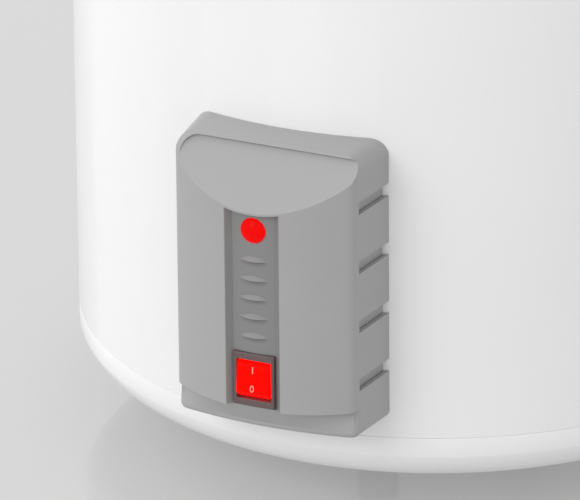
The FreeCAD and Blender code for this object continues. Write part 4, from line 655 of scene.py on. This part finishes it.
def jacket():
    """The outer sheet with the opening behind the cover and the bracket's two slots."""
    low, high = SEAM_Z, TANK_H - SEAM_Z
    outer, inner = TANK_R, TANK_R - JACKET_T
    bm, verts = profile([(outer, low), (outer, high), (inner, high), (inner, low)])
    round_corners(bm, verts, SHEET_ROUND, 4)
    turn(bm)
    bm = cut(bm, block(-OPENING_HALF, OPENING_HALF, -TANK_R - 5, -TANK_R / 2, *OPENING_Z))
    for x in (-HOOK_SLOT_X, HOOK_SLOT_X):
        bm = cut(bm, block(x - HOOK_SLOT_HALF, x + HOOK_SLOT_HALF, TANK_R / 2, TANK_R + 5, *HOOK_SLOT_Z))
    return piece("jacket_shell", bm, "heater", MATERIALS["jacket_paint"], ["outer_jacket"])


def lap_seam():
    """The folded seam that closes the jacket down its back."""
    bm = bmesh.new()
    low, high = SEAM_Z + LAP_END, TANK_H - SEAM_Z - LAP_END
    start = bm.verts.new((-LAP_HALF, math.sqrt(TANK_R ** 2 - LAP_HALF ** 2), low))
    bmesh.ops.spin(bm, geom=[start], cent=(0, 0, 0), axis=(0, 0, -1), angle=2 * math.asin(LAP_HALF / TANK_R),
                   steps=8)
    made = bmesh.ops.extrude_edge_only(bm, edges=bm.edges[:])
    moved = [g for g in made["geom"] if isinstance(g, bmesh.types.BMVert)]
    bmesh.ops.translate(bm, verts=moved, vec=(0, 0, high - low))
    bmesh.ops.recalc_face_normals(bm, faces=bm.faces[:])
    obj = piece("jacket_lap_seam", bm, "heater", MATERIALS["jacket_paint"])
    thick = obj.modifiers.new("sheet", "SOLIDIFY")
    thick.thickness = LAP_T * MM
    thick.offset = 1.0
    return with_bevel(obj, 0.3, 2)


def cap_shell(name, node, underside):
    """A moulded end cap with a large round edge and a rebate for the jacket."""
    step = TANK_R - JACKET_T - REBATE_GAP
    inner = TANK_R - CAP_T
    top = SEAM_Z - SEAM_GAP
    centre = (TANK_R - CAP_EDGE_R * math.cos(CAP_CREASE), CAP_EDGE_R)
    outside = arc(centre, CAP_EDGE_R, -math.pi / 2, -CAP_CREASE, CAP_EDGE_STEPS)
    inside = arc(centre, CAP_EDGE_R - CAP_T, -CAP_CREASE, -math.pi / 2, CAP_EDGE_STEPS)
    rebate = [(TANK_R, top), (step, top), (step, top + REBATE_H), (inner, top + REBATE_H)]
    bm, verts = profile([(0, 0)] + outside + rebate + inside + [(0, CAP_T)])
    round_corners(bm, [verts[1 + len(outside)]], SHEET_ROUND, 4)
    turn(bm)
    if underside:
        for x, y, radius in CAP_HOLES:
            bm = cut(bm, rod(radius, (x, y, -5), (x, y, 8), HOLE_STEPS))
    else:
        bmesh.ops.scale(bm, vec=(1, 1, -1), verts=bm.verts[:])
        bmesh.ops.translate(bm, vec=(0, 0, TANK_H), verts=bm.verts[:])
    return piece(name, bm, "heater", MATERIALS["cap_plastic"], [node])


# Control cover

def side_half(v):
    """Half the cover's width at a distance v, the sides leaning in by the draft."""
    return COVER_HALF - (v - COVER_DRAFT_V) * math.tan(COVER_DRAFT)


def arc(centre, radius, start, end, steps):
    """Points along an arc in a plane, angles in radians."""
    turns = [start + (end - start) * k / steps for k in range(steps + 1)]
    return [(centre[0] + radius * math.cos(t), centre[1] + radius * math.sin(t)) for t in turns]


def front_outline(radius, inset, front_centre, corner_r):
    """The plan's right half from the side's tangent point to the middle of the front, as (u, v)."""
    slope = math.tan(COVER_DRAFT)
    round_r = corner_r - inset
    line = side_half(0.0) - (inset + round_r) / math.cos(COVER_DRAFT)
    a = slope ** 2 + 1
    b = -2 * (line * slope + front_centre)
    c = line ** 2 + front_centre ** 2 - (radius - inset - round_r) ** 2
    v = (-b + math.sqrt(b * b - 4 * a * c)) / (2 * a)
    centre = (line - slope * v, v)
    turn_at = math.atan2(v - front_centre, centre[0])
    corner = arc(centre, round_r, COVER_DRAFT, turn_at, CORNER_STEPS)
    front = arc((0.0, front_centre), radius - inset, turn_at, math.pi / 2, FRONT_STEPS)
    return corner + front[1:]


def plan(radius, inset, front_centre, corner_r):
    """A closed plan, first its back left and back right corners, as (u, v) points."""
    half = front_outline(radius, inset, front_centre, corner_r)
    back = side_half(COVER_BACK) - inset / math.cos(COVER_DRAFT)
    front = half + [(-u, v) for u, v in reversed(half[:-1])]
    return [(-back, COVER_BACK), (back, COVER_BACK)] + front


def panel_plan(inset):
    return plan(PANEL_R, inset, FRONT_CENTRE, SIDE_ROUND)


def strip_plan(inset):
    return plan(FRONT_R, inset, FRONT_CENTRE, STRIP_ROUND)


def foot_plan(inset):
    return plan(FOOT_R, inset, 0.0, FOOT_CORNER)


def chin_levels(inset, low):
    """Plans that lean out from the foot to the strip's upper edge."""
    below, above = foot_plan(inset), strip_plan(inset)
    levels = []
    for k in range(CHIN_STEPS + 1):
        part = k / CHIN_STEPS
        mixed = [(u0 + (u1 - u0) * part, v0 + (v1 - v0) * part) for (u0, v0), (u1, v1) in zip(below, above)]
        levels.append((low + (PANEL_BOTTOM - low) * part, mixed))
    return levels


def stack(levels):
    """A closed block from plans at rising heights, each with as many points.

    Where two plans share one height the first part of the side is common to both."""
    bm = bmesh.new()
    rings = []
    for z, points in levels:
        ring = []
        for k, (u, v) in enumerate(points):
            shared = rings and k < 2 and rings[-1][k].co.z == z
            ring.append(rings[-1][k] if shared else bm.verts.new((u, -v, z)))
        rings.append(ring)
    bm.verts.ensure_lookup_table()
    bm.faces.new(rings[0])
    bm.faces.new(rings[-1])
    last = len(rings[0])
    for number, (below, above) in enumerate(zip(rings, rings[1:])):
        if below[0] is above[0]:
            pairs = range(2, last - 1)
        else:
            pairs = range(last)
        # A ledge under this stretch adds its end points to the two sides
        ledge = rings[number - 1] if number and rings[number - 1][0] is below[0] else None
        for k in pairs:
            after = (k + 1) % last
            side = [below[k], below[after], above[after], above[k]]
            if ledge and k == 1:
                side.insert(1, ledge[2])
            if ledge and after == 0:
                side.insert(1, ledge[k])
            bm.faces.new(side)
    bmesh.ops.recalc_face_normals(bm, faces=bm.faces[:])
    return bm


def rounded_ring(half, z0, z1, low_r, high_r):
    """A rectangle with four round corners, as (x, z) points."""
    quarter = math.pi / 2
    low, high = z0 + low_r, z1 - high_r
    corners = ((half - low_r, low, low_r), (half - high_r, high, high_r),
               (high_r - half, high, high_r), (low_r - half, low, low_r))
    ring = []
    for number, (x, z, radius) in enumerate(corners):
        ring += arc((x, z), radius, (number - 1) * quarter, number * quarter, 10)
    return ring


def drafted_prism(inset, z0, z1, low_r, high_r):
    """A rounded block that narrows towards the front as the cover does."""
    bm = bmesh.new()
    rings = []
    for v in (COVER_BACK - 9.5, FRONT_CENTRE + PANEL_R + 9.5):
        ring = rounded_ring(side_half(v) - inset + SIDE_HAIR, z0, z1, low_r, high_r)
        rings.append([bm.verts.new((x, -v, z)) for x, z in ring])
    near, far = rings
    bm.faces.new(near)
    bm.faces.new(far)
    for k in range(len(near)):
        bm.faces.new((near[k - 1], near[k], far[k], far[k - 1]))
    bmesh.ops.recalc_face_normals(bm, faces=bm.faces[:])
    return bm


def across(profile_points, half):
    """A prism along x from a closed (y, z) profile."""
    bm = bmesh.new()
    face = bm.faces.new([bm.verts.new((-half, y, z)) for y, z in profile_points])
    return raise_face(bm, [face], (2 * half, 0, 0))


def above_top(offset, lip, z_top):
    """All that lies outside the slanted plane and the flat top, with a round edge between them.

    The first stretch of the slope stands out by lip and sinks into the plane."""
    top, down, normal = slope_frame()
    far = 90.0
    meet = top + normal * offset + down * LIP_RUN
    start = top + normal * (offset + lip)
    steep = (meet - start).normalized()
    angle = math.asin(-steep.z)
    ridge = start + steep * ((start.z - z_top) / math.sin(angle))
    on_top = ridge.y + TOP_ROUND * math.tan(angle / 2)
    edge = arc((on_top, z_top - TOP_ROUND), TOP_ROUND, math.pi / 2, math.pi / 2 + angle, CORNER_STEPS)
    low = meet + down * far
    outline = [(on_top + far, z_top)] + edge + [(meet.y, meet.z), (low.y, low.z), (low.y - far, low.z)]
    outline += [(low.y - far, z_top + far), (on_top + far, z_top + far)]
    return across(outline, far)


def face_recess():
    """The shallow pocket that leaves the lip above the slanted face, open towards the right side."""
    top, down, normal = slope_frame()
    bm = bmesh.new()
    side = Vector((1, 0, 0))
    top = top + normal * POCKET_HAIR
    corners = [top - side * FACE_HALF, top + side * FACE_OPEN, top + side * FACE_OPEN + down * FACE_RUN,
               top - side * FACE_HALF + down * FACE_RUN]
    verts = [bm.verts.new(c) for c in corners]
    bm.faces.new(verts)
    round_corners(bm, verts[:1], FACE_CORNER, 10)
    return raise_face(bm, bm.faces[:], normal * 25)


def channel_cutter():
    """The middle channel with its slanted sides."""
    floor_r = FRONT_R - FLOOR_HAIR
    near = FRONT_CENTRE + math.sqrt(floor_r ** 2 - CHANNEL_FLOOR_HALF ** 2)
    edge_v = FRONT_CENTRE + math.sqrt(PANEL_R ** 2 - CHANNEL_HALF ** 2)
    rate = (CHANNEL_HALF - CHANNEL_FLOOR_HALF) / (edge_v - near)
    beyond = 8.0
    far, far_half = edge_v + beyond, CHANNEL_HALF + rate * beyond
    bm = bmesh.new()
    low = PANEL_BOTTOM - 1.0
    start = bm.verts.new((-CHANNEL_FLOOR_HALF, -near, low))
    end = bmesh.ops.spin(bm, geom=[start], cent=(0, -FRONT_CENTRE, 0), axis=(0, 0, 1),
                         angle=2 * math.asin(CHANNEL_FLOOR_HALF / floor_r), steps=16)["geom_last"][0]
    right = bm.verts.new((far_half, -far, low))
    left = bm.verts.new((-far_half, -far, low))
    bm.edges.new((end, right))
    bm.edges.new((right, left))
    bm.edges.new((left, start))
    bm = raise_face(bm, close_flat(bm), (0, 0, COVER_TOP - low))
    return cut(bm, above_top(-CHANNEL_LEDGE, 0.0, COVER_TOP - 1.0))


def louvre_ribs():
    """Five small scales in the channel, sloping out from its floor to a sharp lower edge."""
    bm = bmesh.new()
    for number in range(RIB_COUNT):
        z = RIB_TOP_Z - RIB_PITCH * number
        sections = []
        for k in range(2 * RIB_STEPS + 1):
            u = RIB_HALF * (k / RIB_STEPS - 1)
            swell = 1 - (u / RIB_HALF) ** 2
            floor_v = FRONT_CENTRE + math.sqrt(FRONT_R ** 2 - u * u)
            root, nose = floor_v - RIB_ROOT, floor_v - 0.05 + RIB_OUT * swell
            corners = [(root, z + 0.6 + RIB_RISE * swell), (nose, z + RIB_LIP), (nose, z), (root, z - 0.1)]
            sections.append([bm.verts.new((u, -v, height)) for v, height in corners])
        bm.faces.new(sections[0])
        bm.faces.new(sections[-1])
        for before, after in zip(sections, sections[1:]):
            for k in range(4):
                bm.faces.new((before[k - 1], before[k], after[k], after[k - 1]))
    return piece("channel_ribs", bm, "heater", MATERIALS["rib_plastic"], smooth_deg=25.0)


def cavity():
    """The room inside the walls, open towards the tank."""
    low, high = COVER_BOTTOM + COVER_WALL, COVER_TOP - COVER_WALL
    spine = CHANNEL_HALF + COVER_WALL
    wide = stack([(PANEL_BOTTOM + COVER_WALL, panel_plan(COVER_WALL)), (high + 1, panel_plan(COVER_WALL))])
    wide = cut(wide, block(-spine, spine, -FRONT_CENTRE - PANEL_R, -FRONT_CENTRE - 20, 0, COVER_TOP + 9))
    inset = COVER_WALL + 2 * HAIR
    narrow = stack(chin_levels(inset, low) + [(high + 2, strip_plan(inset))])
    bm = join(narrow, wide)
    corner = CORNER_ROUND - COVER_WALL
    bm = combine(bm, drafted_prism(COVER_WALL, low - 12, high, corner, corner), "INTERSECT")
    return cut(bm, above_top(-COVER_WALL, 0.0, high + HAIR))


def cover_body():
    """The cover's outer form before its top, pocket and channel are cut."""
    levels = []
    for k in range(9):
        turned = math.pi / 2 * k / 8
        levels.append((COVER_BOTTOM + FOOT_ROUND * (1 - math.cos(turned)),
                       foot_plan(FOOT_ROUND * (1 - math.sin(turned)))))
    levels += chin_levels(0.0, COVER_BOTTOM + FOOT_BAND)
    levels += [(PANEL_BOTTOM, panel_plan(0.0)), (COVER_TOP + 1, panel_plan(0.0))]
    sides = drafted_prism(0.0, COVER_BOTTOM - 0.3, COVER_TOP, LOW_CORNER, CORNER_ROUND)
    return combine(stack(levels), sides, "INTERSECT")


def cut_vents(bm):
    """Four notches in each side."""
    for k in range(VENT_COUNT):
        z = VENT_TOP_Z - VENT_PITCH * k
        for side in (-1, 1):
            low, high = sorted((side * (side_half(VENT_FRONT) - VENT_DEPTH), side * (COVER_HALF + 10)))
            bm = cut(bm, block(low, high, -VENT_FRONT, -COVER_BACK, z - VENT_H / 2, z + VENT_H / 2))
    return bm


def cut_seats(bm):
    """The seats of the switch and the lamp in the channel's floor, with the holes behind them."""
    outside, behind = -SEAT_V - 9, -SEAT_V + 12
    low, high = (corner.z for corner in heater_box("switch_body"))
    bm = cut(bm, block(-BEZEL_HALF - SEAT_GAP, BEZEL_HALF + SEAT_GAP, outside, -SWITCH_FLOOR,
                       low - SEAT_GAP, high + SEAT_GAP))
    bm = cut(bm, block(-SEAT_HOLE_HALF, SEAT_HOLE_HALF, outside, behind, low + SEAT_LEDGE, high - SEAT_LEDGE))
    z = sum(corner.z for corner in heater_box("lamp_lens")) / 2
    bm = cut(bm, rod(LENS_R + LENS_GAP, (0, outside, z), (0, -SEAT_V + LENS_SEAT, z), HOLE_STEPS))
    return cut(bm, rod(LAMP_HOLE_R, (0, outside, z), (0, behind, z)))


def control_cover():
    """The grey cover, hollow behind, fitted to the tank's round side."""
    bm = cover_body()
    for tool in (above_top(0.0, LIP, COVER_TOP + HAIR), face_recess(), channel_cutter(), cavity()):
        bm = cut(bm, tool)
    bm = cut(bm, rod(TANK_R + 0.15, (0, 0, COVER_BOTTOM - 5), (0, 0, COVER_TOP + 5), 2 * TURN_STEPS))
    bm = cut_seats(cut_vents(bm))
    obj = with_bevel(stand_in("control_cover", "cover_shell", bm), 0.5, angle_deg=32.0)
    return with_flat_faces(obj)


def vent_baffles():
    """A wall close behind each side's vents, bent outwards in front of them."""
    corners = [(BAFFLE_BACK, BAFFLE_GAP + BAFFLE_T), (BAFFLE_FRONT, BAFFLE_GAP + BAFFLE_T),
               (BAFFLE_FRONT, -BAFFLE_LEAN), (BAFFLE_FRONT - BAFFLE_T, -BAFFLE_LEAN),
               (BAFFLE_FRONT - BAFFLE_T, BAFFLE_GAP), (BAFFLE_BACK, BAFFLE_GAP)]
    for side, name in ((-1, "left"), (1, "right")):
        bm = bmesh.new()
        outline = [(side * (side_half(v) - COVER_WALL - behind), -v, BAFFLE_BOTTOM) for v, behind in corners]
        face = bm.faces.new([bm.verts.new(corner) for corner in outline])
        raise_face(bm, [face], (0, 0, BAFFLE_TOP - BAFFLE_BOTTOM))
        bm = cut(bm, rod(TANK_R + 0.3, (0, 0, 0), (0, 0, COVER_TOP), TURN_STEPS))
        piece("vent_baffle_" + name, bm, "heater", MATERIALS["cover_plastic"])


# Switch and lamp

def switch_frame():
    """The bezel and the housing behind it, open at the front for the rocker."""
    bezel = block(-BEZEL_HALF, BEZEL_HALF, -BEZEL_FACE, -SWITCH_FLOOR, SWITCH_Z - BEZEL_HALF_H,
                  SWITCH_Z + BEZEL_HALF_H)
    rim = [e for e in bezel.edges if all(v.co.y < HAIR - BEZEL_FACE for v in e.verts)]
    bmesh.ops.bevel(bezel, geom=rim, offset=BEZEL_ROUND, offset_type="OFFSET", segments=5, profile=0.5,
                    affect="EDGES", material=-1)
    housing = block(-HOUSING_HALF, HOUSING_HALF, -SWITCH_FLOOR - 0.2, HOUSING_DEPTH - SWITCH_FLOOR,
                    SWITCH_Z - HOUSING_HALF_H, SWITCH_Z + HOUSING_HALF_H)
    well = block(-WELL_HALF, WELL_HALF, -BEZEL_FACE - 1, WELL_DEPTH - PIVOT_V, SWITCH_Z - WELL_HALF_H,
                 SWITCH_Z + WELL_HALF_H)
    return with_bevel(stand_in("switch_body", "switch_frame", cut(join(bezel, housing), well)), 0.35)


def tilt_with_rocker(bm):
    """Tilts what is drawn at the rocker's middle position into its ON position."""
    bmesh.ops.rotate(bm, verts=bm.verts[:], cent=(0, -PIVOT_V, SWITCH_Z),
                     matrix=Matrix.Rotation(ROCKER_TILT, 3, "X"))
    return bm


def rocker():
    """The two shallow faces of the rocker, its round ends, its skirts and its trunnions."""
    start = math.atan2(ROCKER_FACE_END, ROCKER_OUT + ROCKER_FACE_END * math.tan(ROCKER_VEE))
    end = math.asin((WELL_HALF_H - 0.2) / ROCKER_END_R) + ROCKER_TILT
    upper = [(0.0, ROCKER_OUT)] + [(z, v) for v, z in arc((0, 0), ROCKER_END_R, start, end, 10)]
    upper += [(ROCKER_END_R * math.sin(end) - ROCKER_SKIRT, 2.0), (4.0, -4.0)]
    outline = upper + [(-z, v) for z, v in reversed(upper[1:])]
    bm = bmesh.new()
    verts = [bm.verts.new((-ROCKER_HALF, -PIVOT_V - v, SWITCH_Z + z)) for z, v in outline]
    raise_face(bm, [bm.faces.new(verts)], (2 * ROCKER_HALF, 0, 0))
    bm = join(bm, rod(TRUNNION_R, (-TRUNNION_END, -PIVOT_V, SWITCH_Z), (TRUNNION_END, -PIVOT_V, SWITCH_Z), 32))
    return with_bevel(stand_in("switch_rocker", "rocker_key", tilt_with_rocker(bm), "rocker"), 0.45)


def off_ring():
    """The upright oval of the off sign."""
    bm = bmesh.new()
    loops = [(SIGN_HALF - inset, SIGN_HALF_H - inset, y) for inset in (0.0, SIGN_STROKE) for y in (-SIGN_T, SIGN_T)]
    rows = []
    for k in range(SIGN_STEPS):
        turned = math.tau * k / SIGN_STEPS
        rows.append([bm.verts.new((u * math.cos(turned), y, h * math.sin(turned))) for u, h, y in loops])
    for here, after in zip(rows, rows[1:] + rows[:1]):
        for a, b in ((0, 1), (1, 3), (3, 2), (2, 0)):
            bm.faces.new((here[a], here[b], after[b], after[a]))
    return bm


def rocker_signs():
    """The on and off signs, printed on the two faces of the rocker."""
    bar = block(-SIGN_BAR_HALF, SIGN_BAR_HALF, -SIGN_T, SIGN_T, -SIGN_HALF_H, SIGN_HALF_H)
    for name, bm, side in (("rocker_on_sign", bar, 1), ("rocker_off_sign", off_ring(), -1)):
        v = PIVOT_V + ROCKER_OUT + SIGN_Z * math.tan(ROCKER_VEE) + SIGN_PROUD
        bmesh.ops.rotate(bm, verts=bm.verts[:], cent=(0, 0, 0),
                         matrix=Matrix.Rotation(side * ROCKER_VEE, 3, "X"))
        bmesh.ops.translate(bm, verts=bm.verts[:], vec=(0, -v, SWITCH_Z + side * SIGN_Z))
        piece(name, tilt_with_rocker(bm), "rocker", MATERIALS["glyph_white"])


def lamp_lens():
    """A domed lens with a flat rim."""
    dome_r = (LENS_R ** 2 + LENS_RISE ** 2) / (2 * LENS_RISE)
    edge = math.asin(LENS_R / dome_r)
    dome = arc((0.0, LENS_RIM + LENS_RISE - dome_r), dome_r, math.pi / 2 - edge, math.pi / 2, 14)
    bm, verts = profile([(0.0, 0.0), (LENS_R, 0.0)] + dome)
    turn(bm, steps=PART_STEPS)
    bmesh.ops.rotate(bm, verts=bm.verts[:], cent=(0, 0, 0), matrix=Matrix.Rotation(math.pi / 2, 3, "X"))
    low, high = heater_box("lamp_lens")
    bmesh.ops.translate(bm, verts=bm.verts[:], vec=(0, high.y, (low.z + high.z) / 2))
    return with_bevel(stand_in("lamp_lens", "lens_dome", bm), 0.25)


# Water pipes, cable gland and wall mounting

THREAD_R = 10.48
THREAD_ROOT_R = 9.4
THREAD_PITCH = 1.814
THREAD_CREST = (0.42, 0.58)
THREAD_END = -8.0
PIPE_END = -30.0
PIPE_TOP = 52.0
PIPE_R = 10.0
PIPE_BORE_R = 7.5
COLLAR_BORE_R = 10.05
COLLAR_R = 17.0
COLLAR_NECK_R = 14.0
COLLAR_FLANGE = 3.0
COLLAR_NECK = 5.2


def threaded_pipe(node, name, x):
    """A steel nipple with its male thread at the free end."""
    chamfer = 0.6
    outline = [(PIPE_BORE_R, PIPE_END), (THREAD_ROOT_R - 0.2, PIPE_END)]
    z = PIPE_END + chamfer
    while z + THREAD_PITCH < THREAD_END:
        outline.append((THREAD_ROOT_R, z))
        outline += [(THREAD_R, z + THREAD_PITCH * part) for part in THREAD_CREST]
        z += THREAD_PITCH
    outline += [(THREAD_ROOT_R, z), (PIPE_R, z + chamfer), (PIPE_R, PIPE_TOP), (PIPE_BORE_R, PIPE_TOP)]
    bm, verts = profile([(x + r, height) for r, height in outline])
    turn(bm, (x, 0.0), PART_STEPS)
    return stand_in(node, name, bm, smooth_deg=30.0)


def pipe_collar(node, name, x):
    """The coloured ring that closes the cap round a pipe."""
    outline = [(COLLAR_BORE_R, -COLLAR_FLANGE), (COLLAR_R, -COLLAR_FLANGE), (COLLAR_R, 0.0),
               (COLLAR_NECK_R, 0.0), (COLLAR_NECK_R, COLLAR_NECK), (COLLAR_BORE_R, COLLAR_NECK)]
    bm, verts = profile([(x + r, height) for r, height in outline])
    round_corners(bm, verts[1:3], 0.9, 4)
    round_corners(bm, verts[:1], 0.4, 3)
    turn(bm, (x, 0.0), PART_STEPS)
    return stand_in(node, name, bm)


# Stage

FLOOR_Z = (FOOT_Z - 30.0) * MM
FLOOR_TONE = 0.62
FLOOR_ROUGHNESS = 0.05
FLOOR_IOR = 2.0
CAMERA_PLACE = (1513.5, -3475.2, 1676.2)
CAMERA_FORWARD = (-0.3848, 0.8349, -0.3935)
CAMERA_ROLL = math.radians(-0.504)
CAMERA_LENS = 470.7
DOME_TOP = 0.60
DOME_SIDE = 0.97
DOME_BELOW = 0.55
LIGHT_DISTANCE = 6.0
LIGHT_TARGET_Z = 100.0
# Name, degrees round to the left of the cover's front, degrees up, size in metres, watts
SOFT_LIGHTS = (("key", 20.0, 30.0, 3.4, 112.0), ("side", 98.0, 30.0, 5.0, 96.0))


def make_camera():
    """The photo's camera, as solved from the tank's and the cover's edges."""
    data = bpy.data.cameras.new("camera")
    data.sensor_width = 36.0
    data.lens = CAMERA_LENS
    data.clip_end = 100.0
    camera = bpy.data.objects.new("camera", data)
    bpy.context.scene.collection.objects.link(camera)
    forward = Vector(CAMERA_FORWARD).normalized()
    right = forward.cross(Vector((0, 0, 1))).normalized()
    up = right.cross(forward)
    turned_right = right * math.cos(CAMERA_ROLL) + up * math.sin(CAMERA_ROLL)
    turned_up = up * math.cos(CAMERA_ROLL) - right * math.sin(CAMERA_ROLL)
    rotation = Matrix((turned_right, turned_up, -forward)).transposed()
    camera.matrix_world = Matrix.Translation(TO_FRAME @ Vector(CAMERA_PLACE)) @ rotation.to_4x4()
    bpy.context.scene.camera = camera


def make_floor():
    """A pale glossy floor for the heater's shadow and mirror image.

    Diffuse light passes it, so the dome lights the heater from below."""
    material, nodes, links, bsdf = shader("floor_gloss")
    bsdf.inputs["Base Color"].default_value = (FLOOR_TONE, FLOOR_TONE, FLOOR_TONE, 1.0)
    bsdf.inputs["Roughness"].default_value = FLOOR_ROUGHNESS
    bsdf.inputs["IOR"].default_value = FLOOR_IOR
    bm = bmesh.new()
    bmesh.ops.create_grid(bm, x_segments=1, y_segments=1, size=20.0)
    mesh = bpy.data.meshes.new("floor")
    bm.to_mesh(mesh)
    bm.free()
    mesh.materials.append(material)
    floor = bpy.data.objects.new("floor", mesh)
    floor.location.z = FLOOR_Z
    bpy.context.scene.collection.objects.link(floor)
    floor.visible_diffuse = False
    floor.visible_shadow = False


def soft_light(name, around_deg, up_deg, size, power):
    """A round soft light by its direction from the cover, around_deg to the left of the front."""
    around, up = math.radians(around_deg), math.radians(up_deg)
    target = Vector((0.0, (AXIS_Y - TANK_R) * MM, (FOOT_Z + LIGHT_TARGET_Z) * MM))
    direction = Vector((-math.sin(around) * math.cos(up), -math.cos(around) * math.cos(up), math.sin(up)))
    data = bpy.data.lights.new(name, "AREA")
    data.shape = "DISK"
    data.size = size
    data.energy = power
    light = bpy.data.objects.new(name, data)
    light.location = target + direction * LIGHT_DISTANCE
    light.rotation_mode = "QUATERNION"
    light.rotation_quaternion = (-direction).to_track_quat("-Z", "Y")
    bpy.context.scene.collection.objects.link(light)


def make_dome():
    """A white dome by the height of the view direction, dimmer overhead and below."""
    world = bpy.data.worlds.new("studio")
    bpy.context.scene.world = world
    world.use_nodes = True
    nodes, links = world.node_tree.nodes, world.node_tree.links
    where = nodes.new("ShaderNodeTexCoord")
    height = nodes.new("ShaderNodeSeparateXYZ")
    least = nodes.new("ShaderNodeMath")
    least.operation = "MINIMUM"
    background = nodes["Background"]
    background.inputs["Color"].default_value = (1.0, 1.0, 1.0, 1.0)
    links.new(where.outputs["Generated"], height.inputs[0])
    for socket, band in zip(least.inputs, ((-0.2, 0.0, DOME_BELOW, DOME_SIDE), (0.3, 1.0, DOME_SIDE, DOME_TOP))):
        level = nodes.new("ShaderNodeMapRange")
        for label, value in zip(("From Min", "From Max", "To Min", "To Max"), band):
            level.inputs[label].default_value = value
        links.new(height.outputs["Z"], level.inputs["Value"])
        links.new(level.outputs["Result"], socket)
    links.new(least.outputs[0], background.inputs["Strength"])


dress_cad_nodes()
jacket()
lap_seam()
cap_shell("bottom_cap_shell", "bottom_cap", True)
cap_shell("top_cap_shell", "top_cap", False)
control_cover()
louvre_ribs()
vent_baffles()
switch_frame()
rocker()
rocker_signs()
lamp_lens()
threaded_pipe("cold_inlet", "cold_pipe", PIPE_X)
threaded_pipe("hot_outlet", "hot_pipe", -PIPE_X)
pipe_collar("cold_collar", "cold_ring", PIPE_X)
pipe_collar("hot_collar", "hot_ring", -PIPE_X)
for packed, width in (("gland_body", 0.5), ("gland_nut", 0.9), ("wall_bracket", 0.5), ("rear_spacer", 1.2),
                      ("cover_screws", 0.2)):
    refined(packed, width)
make_camera()
make_floor()
make_dome()
for values in SOFT_LIGHTS:
    soft_light(*values)
bpy.context.scene.view_settings.view_transform = "Standard"
